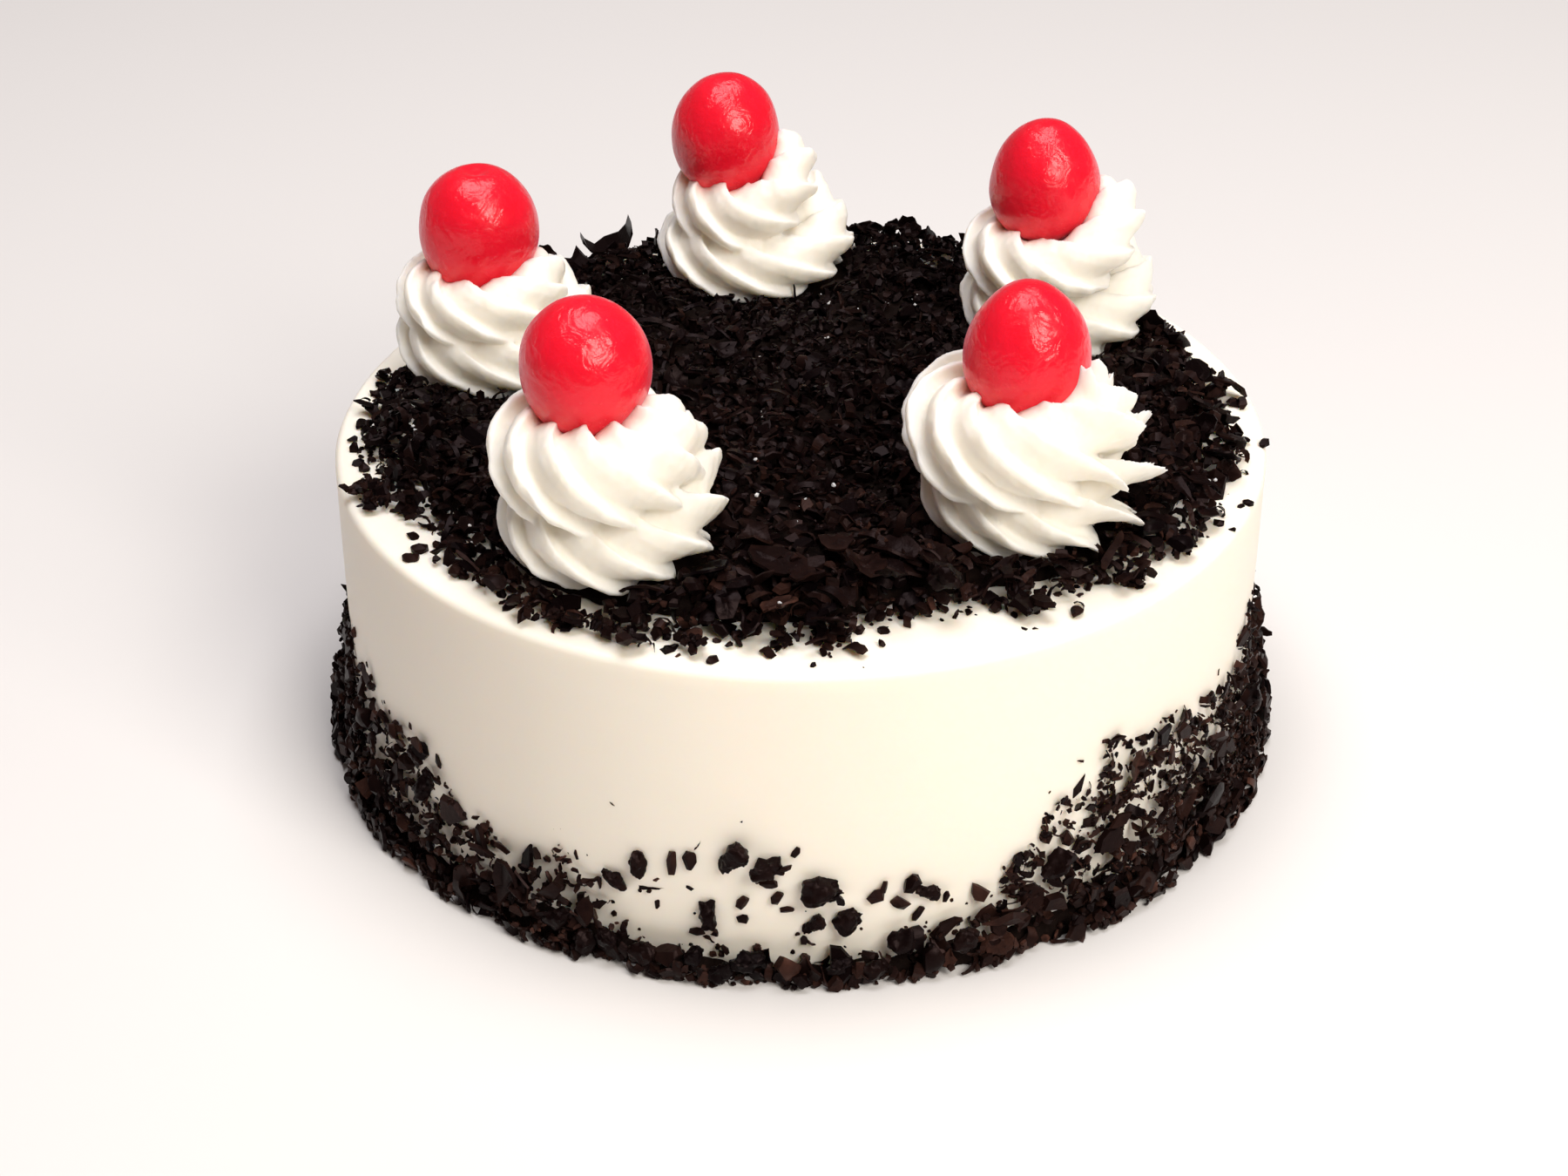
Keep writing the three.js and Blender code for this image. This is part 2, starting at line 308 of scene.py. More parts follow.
def glace_cherry():
    """A candied cherry: deep red flesh under a thin, sticky sugar skin with a soft broken shine."""
    material, tree = blank("glace_cherry")
    place = add(tree, "TexCoord").outputs["Object"]
    # The flesh is mottled over 6 mm and dented every 3 mm. The sugar skin has wrinkles 4 mm apart, and its
    # shine breaks up over 2.4 mm.
    mottle = add(tree, "TexNoise", Vector=place, Scale=160.0, Detail=3.0)
    colour = add(tree, "Mix", {"data_type": "RGBA"}, at0=mottle.outputs["Fac"], at6=srgb("#e00c22"),
                 at7=srgb("#ee1a34"))
    dents = add(tree, "TexNoise", Vector=place, Scale=330.0, Detail=4.0, Roughness=0.6)
    bump = add(tree, "Bump", Height=dents.outputs["Fac"], Strength=0.5, Distance=0.5 * MM)
    wrinkles = add(tree, "TexNoise", Vector=place, Scale=260.0, Detail=3.0, Distortion=1.5)
    skin = add(tree, "Bump", Height=wrinkles.outputs["Fac"], Strength=0.5, Distance=1.0 * MM)
    sugar = add(tree, "TexNoise", Vector=place, Scale=420.0, Detail=2.0)
    gloss = add(tree, "MapRange", Value=sugar.outputs["Fac"], at1=0.35, at2=0.7, at3=0.08, at4=0.32)
    shader = add(tree, "BsdfPrincipled", Base_Color=colour.outputs[2], Roughness=0.4, IOR=1.47,
                 Subsurface_Weight=0.2, Subsurface_Radius=(1.0, 0.1, 0.1), Subsurface_Scale=1.5 * MM,
                 Coat_Weight=0.6, Coat_Roughness=gloss.outputs["Result"], Coat_Normal=skin.outputs["Normal"],
                 Specular_IOR_Level=0.1, Sheen_Weight=0.4, Sheen_Roughness=0.35,
                 Sheen_Tint=srgb("#ffb0c4"), Normal=bump.outputs["Normal"])
    add(tree, "OutputMaterial", Surface=shader.outputs["BSDF"])
    return material


def dark_chocolate():
    """Dark chocolate, snapped and scraped: almost black with brown patches and a dull waxy sheen. Its tone
    also holds painted light: lighter chip rims as a painted highlight, and lighter chips where the window
    light falls.
    """
    material, tree = blank("dark_chocolate")
    place = add(tree, "TexCoord").outputs["Object"]
    tone = add(tree, "Attribute", {"attribute_name": "tone"}).outputs["Fac"]
    # Brown patches 2 mm wide. The real grain is too fine to show, so it is drawn 0.7 mm wide.
    mottle = add(tree, "TexNoise", Vector=place, Scale=500.0, Detail=3.0)
    both = add(tree, "Math", {"operation": "MULTIPLY"}, at0=tone, at1=mottle.outputs["Fac"])
    colour = add(tree, "Mix", {"data_type": "RGBA"}, at0=both.outputs["Value"], at6=srgb("#060304"),
                 at7=srgb("#482e26"))
    grain = add(tree, "TexNoise", Vector=place, Scale=1400.0, Detail=2.0)
    bump = add(tree, "Bump", Height=grain.outputs["Fac"], Strength=0.4, Distance=0.15 * MM)
    shader = add(tree, "BsdfPrincipled", Base_Color=colour.outputs[2], Roughness=0.35, IOR=1.45,
                 Specular_IOR_Level=0.09, Specular_Tint=srgb("#f4d2d2"), Normal=bump.outputs["Normal"])
    add(tree, "OutputMaterial", Surface=shader.outputs["BSDF"])
    return material


def chocolate_crumbs():
    """Fine chocolate dust and crumbs packed between the flakes: matt and close to black."""
    material, tree = blank("chocolate_crumbs")
    place = add(tree, "TexCoord").outputs["Object"]
    # Each crumb is about 1 mm wide.
    mottle = add(tree, "TexNoise", Vector=place, Scale=900.0, Detail=3.0)
    colour = add(tree, "Mix", {"data_type": "RGBA"}, at0=mottle.outputs["Fac"], at6=srgb("#060303"),
                 at7=srgb("#1c110d"))
    bump = add(tree, "Bump", Height=mottle.outputs["Fac"], Strength=0.6, Distance=0.4 * MM)
    shader = add(tree, "BsdfPrincipled", Base_Color=colour.outputs[2], Roughness=0.85, IOR=1.45,
                 Specular_IOR_Level=0.08, Normal=bump.outputs["Normal"])
    add(tree, "OutputMaterial", Surface=shader.outputs["BSDF"])
    return material


def pale_paper():
    """A plain studio sweep of matt paper."""
    material, tree = blank("pale_paper")
    shader = add(tree, "BsdfPrincipled", Base_Color=srgb("#e1dfde"), Roughness=0.9)
    add(tree, "OutputMaterial", Surface=shader.outputs["BSDF"])
    return material


# ---------------------------------------------------------------- the cream coat


def cream_coat(material):
    """The coat: a disc raised in small lifts, rounded in at the top edge and closed over the top."""
    lifts, rounds, rings = 30, 6, 12
    fresh()
    bpy.ops.mesh.primitive_circle_add(vertices=288, radius=CAKE_RADIUS, fill_type="NGON")
    obj = added("cream_coat")
    edit(obj)
    everything()
    for _ in range(lifts):
        extrude((0, 0, (CAKE_HEIGHT - TOP_EDGE) / lifts))
    radius = CAKE_RADIUS
    for step in range(1, rounds + 1):
        angle = math.pi / 2 * step / rounds
        rise = TOP_EDGE * (math.sin(angle) - math.sin(angle - math.pi / 2 / rounds))
        narrower = CAKE_RADIUS - TOP_EDGE * (1 - math.cos(angle))
        extrude((0, 0, rise))
        scale((narrower / radius, narrower / radius, 1), (0, 0, CAKE_HEIGHT))
        radius = narrower
    for _ in range(rings):
        bpy.ops.mesh.inset(thickness=1.6 * MM)
    done()
    tidy_normals(obj)
    uneven(obj, "palette_knife", 45 * MM, 0.7 * MM)
    cut_flat(obj, 0)
    smooth(obj)
    obj.data.materials.append(material)
    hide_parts("cake")
    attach(obj, "root")


# ---------------------------------------------------------------- piped rosettes


def eased(share):
    """A soft step from 0 to 1."""
    share = min(max(share, 0.0), 1.0)
    return share * share * (3 - 2 * share)


def rope_place(spec, travel):
    """Where the rope is after some turns: ring radius, height, rope radius and share of the climb."""
    low, high = spec["low"] * MM, spec["high"] * MM
    up = eased((travel - 0.82) / 0.65)  # the climb to the upper turn
    end = eased((travel - 1.74) / 0.36)  # the rise of its end to the peak
    crest = low + (high - low) * up
    half = spec["width"] / 2 * MM * (spec["foot"] + (spec["top"] - spec["foot"]) * up)
    reach = (half - crest) * (1 - spec["inward"] * end)
    sunk = 0.76 * low  # the lowest ridges are pressed flat
    level = sunk + (spec["height"] * MM - high - sunk) * up + spec["peak"] * MM * end
    # It swells as it leaves the nozzle, and thins where the nozzle lifts off.
    taper = eased(travel / 0.12 + 0.25) * (1 - 0.6 * eased((travel - 2.08) / 0.12))
    return reach, level, crest / (1 + spec["depth"]) * taper, up


def pipe_rope(name, spec, centre, drift):
    """Pipes the rope: a star-shaped section is extruded on and on, turning about itself as it goes round."""
    count = spec["teeth"] * len(TOOTH)
    reach, level, size, up = rope_place(spec, 0)
    at = Vector((centre.x + reach, centre.y, centre.z + level))
    fresh()
    bpy.ops.mesh.primitive_circle_add(vertices=count, radius=size, fill_type="NGON", location=at,
                                      rotation=(math.pi / 2, 0, 0))
    obj = added(name)
    edit(obj)
    each = math.tau / count
    for place, (share, rise) in enumerate(TOOTH):
        pick(obj, lambda v, place=place: v.index % len(TOOTH) == place)
        factor = 1 + spec["depth"] * rise
        scale((factor, factor, factor), at)
        turn((share * len(TOOTH) - place) * each, "Y", at)
    everything()
    turn(math.radians(spec["turned"]), "Y", at)
    turn(ROPE_START, "Z", centre)
    axis = centre.copy()
    for step in range(1, round(ROPE_TURNS * math.tau / STEP) + 1):
        travel = step * STEP / math.tau
        before = ROPE_START + (step - 1) * STEP
        extrude((0, 0, 0))
        turn(-before, "Z", axis)
        new_reach, new_level, new_size, new_up = rope_place(spec, travel)
        at = Vector((axis.x + reach, axis.y, centre.z + level))
        turn(spec["twist"] * STEP, "Y", at)
        grow = new_size / size
        scale((grow, grow, grow), at)
        moved = drift * (new_up - up)
        shift((new_reach - reach + moved.x, moved.y, new_level - level))
        axis += moved
        turn(before + STEP, "Z", axis)
        reach, level, size, up = new_reach, new_level, new_size, new_up
    done()
    return obj


def roughen_crests(obj, spec, random):
    """Makes the lips of the ridges a little ragged, and the ridges deeper on the right, where they show."""
    tail = round(math.radians(80) / STEP)  # the last sections, which keep more of their shape
    points = read_points(obj)
    rings = points.reshape(-1, spec["teeth"], len(TOOTH), 3)
    middle = rings.mean(axis=(1, 2), keepdims=True)
    rise = np.array([rise for _, rise in TOOTH])
    ragged = random.normal(0, 1, (len(rings) + 2, spec["teeth"]))
    ragged = (ragged[:-2] + 2 * ragged[1:-1] + ragged[2:]) / 4
    bearing = ROPE_START + STEP * np.arange(len(rings))
    right = np.clip(np.cos(bearing), 0, None)[:, None]
    right[-tail:] *= 0.5
    thin = np.where(rise > 0, rise**4, rise)
    drawn = (spec["fins"] - 1) * thin - spec["points"] * (rise - thin)
    extra = spec["depth"] * (right[:, :, None] ** 2 * drawn + 0.28 * ragged[:, :, None] * rise)
    rings = middle + (rings - middle) * (1 + extra)[..., None]
    write_points(obj, rings.reshape(-1, 3))


def rosette(name, spec, material, random):
    """One rosette: the rope, a plug of cream that fills its middle, melted into one body of soft ridges."""
    bearing = math.radians(spec["bearing"])
    centre = Vector((math.cos(bearing), math.sin(bearing), 0)) * spec["distance"] * MM
    centre.z = SEAT
    low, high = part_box("cherry_" + name)
    cherry = (low + high) / 2
    drift = Vector((cherry.x - centre.x, cherry.y - centre.y, 0)) * spec["lean"]
    obj = pipe_rope("rosette_" + name + "_cream", spec, centre, drift)
    roughen_crests(obj, spec, random)
    tidy_normals(obj)
    width, height = spec["width"] * MM, spec["height"] * MM
    radius = 0.26 * width
    fresh()
    bpy.ops.mesh.primitive_uv_sphere_add(segments=24, ring_count=12, radius=radius,
                                         location=centre + drift + Vector((0, 0, 0.42 * height)),
                                         scale=(1, 1, 0.4 * height / radius))
    added("plug")
    obj.select_set(True)
    bpy.context.view_layer.objects.active = obj
    bpy.ops.object.join()
    modify(obj, "REMESH", mode="VOXEL", voxel_size=0.36 * MM, use_smooth_shade=True)
    modify(obj, "SMOOTH", factor=0.2, iterations=1)
    uneven(obj, "cream_grain_" + name, 2.2 * MM, 0.3 * MM, 1)
    cut_flat(obj, SEAT - 1.2 * MM)  # the foot goes a little way into the flakes
    smooth(obj)
    stain(obj, cherry, (high - low) / 2)
    obj.data.materials.append(material)
    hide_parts("rosette_" + name)
    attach(obj, "root")


def stain(obj, middle, half):
    """Stores how near each point of the cream is to the cherry, for the faint red that its syrup leaves."""
    away = (read_points(obj) - np.array(middle)) / np.array(half)
    gap = (np.linalg.norm(away, axis=1) - 1) * half.x
    near = obj.data.attributes.new("near_cherry", "FLOAT", "POINT")
    near.data.foreach_set("value", np.exp(-np.clip(gap, 0, None) / (1.1 * MM)).astype(np.float32))


# ---------------------------------------------------------------- cherries


def cherry(name, spec, material):
    """One cherry: a ball drawn into an egg or squared at the shoulders, ring by ring, with soft dents."""
    low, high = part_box("cherry_" + name)
    middle = (low + high) / 2
    half = (high - low) / 2
    rings = 40
    fresh()
    bpy.ops.mesh.primitive_uv_sphere_add(segments=64, ring_count=rings, radius=1, location=middle)
    obj = added("cherry_" + name + "_fruit")
    edit(obj)
    heights = [-math.cos(math.pi * ring / rings) for ring in range(1, rings)]
    factors = [(1 - h * h) ** (-spec["shoulders"]) * (1 - spec["taper"] * h) for h in heights]
    widest = max(factor * math.sqrt(1 - h * h) for factor, h in zip(factors, heights))
    for factor, h in zip(factors, heights):
        pick(obj, lambda v, h=h: abs(v.co.z - middle.z - h) < 0.002)
        scale((factor / widest, factor / widest, 1), middle)
    everything()
    scale(half * 0.985, middle)  # a little under its size, for the dents that stand out
    done()
    uneven(obj, "dents_" + name, 11 * MM, 0.8 * MM, 1)
    if spec["dimple"]:
        dimple(obj, Vector((middle.x, middle.y, high.z)), spec["dimple"] * MM)
    smooth(obj)
    obj.data.materials.append(material)
    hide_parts("cherry_" + name)
    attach(obj, "root")


def dimple(obj, top, depth):
    """Presses in the scar where the stem was."""
    edit(obj)
    pick(obj, lambda v: (v.co - top).length < 0.9 * MM)
    bpy.ops.transform.translate(value=(0, 0, -depth), use_proportional_edit=True,
                                proportional_edit_falloff="SMOOTH", proportional_size=3.2 * MM)
    done()


# ---------------------------------------------------------------- flakes, one model of each shape


def taken(obj):
    """Takes a small model away as its points and faces, to be copied many times, with 1 for its rim."""
    faces = obj.data.polygons
    points = read_points(obj)
    away = np.linalg.norm(points[:, :2], axis=1)
    shape = {
        "points": points,
        "rim": np.clip(4 * away / away.max() - 3, 0, 1),
        "corners": np.array([corner for face in faces for corner in face.vertices]),
        "sizes": np.array([len(face.vertices) for face in faces]),
    }
    mesh = obj.data
    bpy.data.objects.remove(obj)
    bpy.data.meshes.remove(mesh)
    return shape


def curl(random, length, width, bend, twist):
    """A shaving: a thin strip drawn out step by step and curled, broad in the middle, ragged at its ends."""
    widths = (0.5, 0.85, 1.0, 1.0, 0.9, 0.7, 0.35)
    widths = [share * random.uniform(0.65, 1.25) for share in widths]
    steps = len(widths) - 1
    at = Vector((-length / 2, 0, 0))
    fresh()
    bpy.ops.mesh.primitive_plane_add(size=1, rotation=(0, math.pi / 2, 0))
    obj = added("curl")
    edit(obj)
    everything()
    scale((1, width * widths[0], 0.45 * MM), (0, 0, 0))
    shift(at)
    heading = -bend / 2
    for last, share in zip(widths, widths[1:]):
        move = Vector((math.cos(heading), 0, -math.sin(heading))) * (length / steps)
        extrude(move)
        at += move
        turn(bend / steps, "Y", at)
        turn(twist / steps, "X", at)
        scale((1, share / last, 1), at)
        shift((0, random.uniform(-0.14, 0.14) * width, 0))
        heading += bend / steps
    done()
    tidy_normals(obj)
    return taken(obj)


def plate(name, radius, corners, pull):
    """Starts a flake: a flat plate, longer than wide, with each corner pulled out and up as pull says."""
    fresh()
    bpy.ops.mesh.primitive_circle_add(vertices=corners, radius=radius, fill_type="NGON")
    obj = added(name)
    edit(obj)
    for number in range(corners):
        pick(obj, lambda v, number=number: v.index == number)
        reach, rise = pull(number)
        scale((reach, 0.75 * reach, 1), (0, 0, 0))
        shift((0, 0, rise * radius))
    everything()
    return obj


def leaf(random, radius, hollow):
    """A broad flake: an uneven plate with a raised, dished middle, half a millimetre thick."""
    obj = plate("leaf", radius, 8, lambda _: (random.uniform(0.55, 1.25), random.uniform(-0.14, 0.14)))
    bpy.ops.mesh.inset(thickness=0.3 * radius)
    shift((0, 0, -hollow))
    done()
    modify(obj, "SOLIDIFY", thickness=0.5 * MM, offset=0)
    tidy_normals(obj)
    return taken(obj)


def petal(random, radius, fold):
    """A broad thin shaving: an uneven round plate with turned-up sides, crumpled all over."""
    corners = 14
    swing = random.uniform(0, math.tau)

    def pull(number):
        wave = math.sin(2 * math.tau * number / corners + swing)
        return 0.95 + 0.18 * wave + random.uniform(-0.12, 0.08), 0

    obj = plate("petal", radius, corners, pull)
    bpy.ops.mesh.inset(thickness=0.22 * radius)
    bpy.ops.mesh.inset(thickness=0.24 * radius)
    bpy.ops.mesh.poke()
    for side in (1, -1):
        pick(obj, lambda v, side=side: v.co.x * side > 0.2 * radius)
        turn(-side * fold * random.uniform(0.5, 1.2), "Y", (side * 0.2 * radius, 0, 0))
    everything()
    bpy.ops.transform.vertex_random(offset=0.12 * radius, seed=int(random.integers(1, 999)))
    done()
    modify(obj, "SOLIDIFY", thickness=0.3 * MM, offset=0)
    tidy_normals(obj)
    return taken(obj)


def shard(random, radius):
    """A snapped piece of a thin slab: an uneven plate with four to six corners."""
    corners = int(random.integers(4, 7))
    obj = plate("shard", radius, corners, lambda _: (random.uniform(0.6, 1.25), random.uniform(-0.1, 0.1)))
    extrude((0, 0, random.uniform(0.25, 0.4) * radius))
    scale((0.85, 0.85, 1), (0, 0, 0))
    done()
    tidy_normals(obj)
    return taken(obj)


def break_off(random, size, breaks, nearest, furthest):
    """Breaks a chunk flat on some of its sides, each at a distance that is a share of its size."""
    for _ in range(breaks):
        side = Vector(random.normal(size=3)).normalized()
        everything()
        bpy.ops.mesh.bisect(plane_co=side * random.uniform(nearest, furthest) * size, plane_no=side,
                            use_fill=True, clear_outer=True)
    everything()


def lump(random, size, rounds, breaks):
    """A chunk: a ball pulled out of shape, then broken flat on several sides."""
    fresh()
    bpy.ops.mesh.primitive_ico_sphere_add(subdivisions=rounds, radius=size / 2)
    obj = added("lump")
    edit(obj)
    everything()
    bpy.ops.transform.vertex_random(offset=0.1 * size, seed=int(random.integers(1, 999)))
    break_off(random, size, breaks, 0.2, 0.34)
    scale((1.15, 0.95, random.uniform(0.5, 0.75)), (0, 0, 0))
    done()
    tidy_normals(obj)
    return taken(obj)


def nugget(random, size):
    """A larger chunk: a ball broken on several sides, its faces rough and its edges crumbled."""
    fresh()
    bpy.ops.mesh.primitive_ico_sphere_add(subdivisions=3, radius=size / 2)
    obj = added("nugget")
    edit(obj)
    break_off(random, size, 5, 0.18, 0.4)
    scale((1.15, 0.9, 0.7), (0, 0, 0))
    away = Vector(random.uniform(-0.1, 0.1, 3))  # each is roughened at another place of the pattern
    shift(away)
    done()
    modify(obj, "REMESH", mode="VOXEL", voxel_size=size / 13, use_smooth_shade=False)
    uneven(obj, "broken", 0.3 * size, 0.3 * size)
    edit(obj)
    everything()
    shift(-away)
    done()
    return taken(obj)


def flake_shapes(random):
    """A few models of each kind of chip. The curls are given by width, bend and twist, in whole turns."""
    def curls(*kinds):
        return [curl(random, 6 * MM, width * MM, bend * math.tau, twist * math.tau)
                for width, bend, twist in kinds]

    return {
        "curl": curls((2.4, 0.35, 0.08), (1.5, 0.6, -0.1), (2.0, 0.45, 0.15), (1.3, 0.3, -0.2),
                      (3.0, 0.2, 0.0), (2.3, 0.65, 0.08), (1.7, 0.15, 0.12)),
        "crescent": curls((2.4, 0.5, 0)),
        "sliver": curls((0.8, 0.2, 0.1), (0.6, 0.35, 0.2), (1.0, 0.05, 0.05)),
        "leaf": [leaf(random, 3 * MM, hollow * MM) for hollow in (0.5, 0.9, 1.2, -0.6, 0.7, 0.3, -0.9)],
        "petal": [petal(random, 3 * MM, math.radians(fold)) for fold in (25, 40, 55, -30, 35, 70, 15)],
        "shard": [shard(random, 2.5 * MM) for _ in range(7)],
        "nugget": [nugget(random, 5 * MM) for _ in range(7)],
        "lump": [lump(random, 4.4 * MM, 2, breaks) for breaks in (4, 5, 6, 5, 4)],
        "bit": [lump(random, 2.4 * MM, 1, breaks) for breaks in (2, 3, 3, 4)],
        "crumb": [lump(random, 1 * MM, 1, 0) for _ in range(4)],
    }


# ---------------------------------------------------------------- heaps of chips


class Pile:
    """Copies of small shapes, kept as lists of points and faces until they are joined into one piece."""

    def __init__(self):
        self.points = []
        self.corners = []
        self.sizes = []
        self.tones = []
        self.total = 0

    def put(self, shape, points, tone):
        """Adds a copy of a shape at these points. Its rim is painted lighter than its middle, a painted
        highlight on its edges.
        """
        self.corners.append(shape["corners"] + self.total)
        self.sizes.append(shape["sizes"])
        self.points.append(points)
        # The lighter rim is a painted highlight.
        self.tones.append((tone * (0.7 + shape["rim"])).astype(np.float32))
        self.total += len(points)

    def joined(self, name, material, slot, crease=28):
        """Makes the pile one piece. Edges sharper than the crease, in degrees, stay sharp."""
        mesh = bpy.data.meshes.new(name)
        sizes = np.concatenate(self.sizes)
        corners = np.concatenate(self.corners)
        mesh.vertices.add(self.total)
        mesh.vertices.foreach_set("co", np.concatenate(self.points).astype(np.float32).ravel())
        mesh.loops.add(len(corners))
        mesh.loops.foreach_set("vertex_index", corners.astype(np.int32))
        mesh.polygons.add(len(sizes))
        mesh.polygons.foreach_set("loop_start", (np.cumsum(sizes) - sizes).astype(np.int32))
        mesh.update(calc_edges=True)
        tone = mesh.attributes.new("tone", "FLOAT", "POINT")
        tone.data.foreach_set("value", np.concatenate(self.tones))
        obj = bpy.data.objects.new(name, mesh)
        bpy.context.scene.collection.objects.link(obj)
        only(obj)
        bpy.ops.object.shade_smooth_by_angle(angle=math.radians(crease))
        mesh.materials.append(material)
        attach(obj, "root")


class Ground:
    """Heights over a flat map, in small square cells, that rise as chips come to rest on it."""

    CELL = 0.8 * MM

    def __init__(self, low, high, height):
        self.low = np.array(low)
        across, along = (int((b - a) / self.CELL) + 2 for a, b in zip(low, high))
        self.level = np.array([[height(low[0] + i * self.CELL, low[1] + j * self.CELL) for j in range(along)]
                               for i in range(across)])

    def cells(self, points):
        at = np.rint((points[:, :2] - self.low) / self.CELL).astype(int)
        at = np.clip(at, 0, np.array(self.level.shape) - 1)
        return at[:, 0], at[:, 1]

    def rest(self, points, sink):
        """Lets a chip down until it touches, and a little further into what lies there."""
        gaps = self.level[self.cells(points)] - points[:, 2]
        return points + (0, 0, gaps.max() - sink)

    def pile_on(self, points):
        np.maximum.at(self.level, self.cells(points), points[:, 2])


def tumbled(points, yaw, tilt, roll):
    """The points turned about themselves: rolled, tilted up, then swung round."""
    turned = Matrix.Rotation(yaw, 3, "Z") @ Matrix.Rotation(tilt, 3, "Y") @ Matrix.Rotation(roll, 3, "X")
    return points @ np.array(turned).T


def any_tilt(random):
    """Most chips lie nearly flat, some lean, and a few stand up."""
    kind = random.random()
    if kind < 0.62:
        return random.uniform(2, 25)
    if kind < 0.9:
        return random.uniform(25, 50)
    return random.uniform(50, 85)


def chip(shapes, random, kind, size):
    """One chip of a kind, at a size relative to its model, tumbled at random."""
    shape = shapes[kind][random.integers(len(shapes[kind]))]
    points = shape["points"] * size * random.uniform(0.75, 1.25, 3)
    tilt = math.radians(any_tilt(random)) * random.choice((-1, 1))
    yaw = random.uniform(0, math.tau)
    return shape, tumbled(points, yaw, tilt, random.normal(0, 0.3))


def patches(x, y, size, seed):
    """A soft random pattern from about -1 to 1, in patches of that size."""
    return noise.noise(Vector((x / size, y / size, seed * 17.3))) * 1.8


def surface(mesh):
    """The mesh's faces as a tree, to find where a line meets them."""
    points = [v.co.copy() for v in mesh.vertices]
    return BVHTree.FromPolygons(points, [tuple(f.vertices) for f in mesh.polygons])


def heap_core(node, name, material, inwards, upwards, lift):
    """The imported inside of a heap: a copy of its solid, drawn in all round and roughened with crumbs."""
    mesh = frame["nodes"][node].data.copy()
    mesh.materials.clear()
    obj = bpy.data.objects.new(name, mesh)
    bpy.context.scene.collection.objects.link(obj)
    edit(obj)
    everything()
    bpy.ops.mesh.remove_doubles(threshold=0.01 * MM)
    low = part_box(node)[0]
    scale((inwards, inwards, upwards), (0, 0, low.z))
    shift((0, 0, lift))
    done()
    modify(obj, "REMESH", mode="VOXEL", voxel_size=1.0 * MM, use_smooth_shade=False)
    uneven(obj, "packed_" + name, 3 * MM, 1.4 * MM)
    cut_flat(obj, low.z + 0.1 * MM)
    mesh.materials.append(material)
    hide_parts(node)
    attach(obj, "root")
    return obj


# Each kind of chip: the pile that it is joined into, and how brown it gets.
KINDS = {
    "curl": ("shavings", 0.5),
    "crescent": ("shavings", 0.2),
    "sliver": ("slivers", 0.7),
    "leaf": ("flakes", 0.35),
    "petal": ("broad_flakes", 0.35),
    "shard": ("shards", 0.3),
    "nugget": ("nuggets", 0.15),
    "lump": ("chunks", 0.2),
    "bit": ("chunks", 0.35),
    "crumb": ("crumbs", 0.4),
}


def any_tone(random, kind):
    """Most chips are nearly black and a few are brown."""
    return KINDS[kind][1] * random.uniform(0, 1) + (0.6 if random.random() < 0.07 else 0)


def coarse_and_lit(x, y):
    """How coarse the chips are, and how much painted light lifts their tone, from 0 to 1: most so at the
    front and on the far right, where the window light falls; the darker rest is painted shade.
    """
    front = 1 / (1 + math.exp((y + 20 * MM) / (12 * MM)))
    right = 1 / (1 + math.exp((58 * MM - x) / (5 * MM)))
    return max(front, right)


def stays(random, kind, chance):
    """Whether a thrown chip stays where it lands. Only crumbs and bits stay where the chance is slight."""
    return random.random() <= chance and (chance >= 0.05 or kind in ("crumb", "bit"))


class Heap:
    """One heap: its ground, the piles of its chips, and how brown they are against the usual.

    World is the function that turns chips on the flat ground into chips in their place on the cake.
    """

    def __init__(self, shapes, random, ground, world, brown):
        self.shapes = shapes
        self.random = random
        self.ground = ground
        self.world = world
        self.brown = brown
        self.piles = {pile: Pile() for pile, _ in KINDS.values()}

    def settle(self, kind, thrown, at, sink, fits):
        """Lets a chip down at a place, and keeps it if it fits there."""
        shape, points = thrown
        points = points + (at[0], at[1], 0)
        points = self.ground.rest(points, sink)
        points = fits(points)
        if points is None:
            return
        self.ground.pile_on(points)
        points = self.world(points)
        # Painted light: the tone is lifted at the front and on the right, where the window light falls, and
        # kept dark in the middle and at the back as painted shade.
        tone = self.brown * any_tone(self.random, kind) * (0.35 + 0.65 * coarse_and_lit(*points[0, :2]))
        self.piles[KINDS[kind][0]].put(shape, points, tone)

    def place(self, kind, at, length, width, yaw, tilt, fits, sink=0.6 * MM):
        """Sets down one chosen chip of that length and width (0 for its own), its long side along yaw."""
        shape = self.shapes[kind][self.random.integers(len(self.shapes[kind]))]
        model = np.ptp(shape["points"], axis=0)
        longer = length / (model[0] if width else max(model[:2]))
        wider = width / model[1] if width else longer
        points = shape["points"] * (longer, wider, min(wider, longer))
        roll = -0.1 if kind == "crescent" else self.random.normal(0, 0.2)
        points = tumbled(points, math.radians(yaw), math.radians(tilt), roll)
        self.settle(kind, (shape, points), at, sink, fits)

    def joined(self, name, material):
        """Makes each pile one piece. The broad flakes are smooth over wider folds than the rest."""
        for label, pile in self.piles.items():
            if pile.total:
                crease = 50 if label == "broad_flakes" else 28
                pile.joined(name + "_" + label, material, "chocolate", crease)


def polar(bearing, distance):
    """A place on the cake's top, from a bearing in degrees and a distance in millimetres."""
    angle = math.radians(bearing)
    return distance * MM * math.cos(angle), distance * MM * math.sin(angle)


# ---------------------------------------------------------------- the bed on top


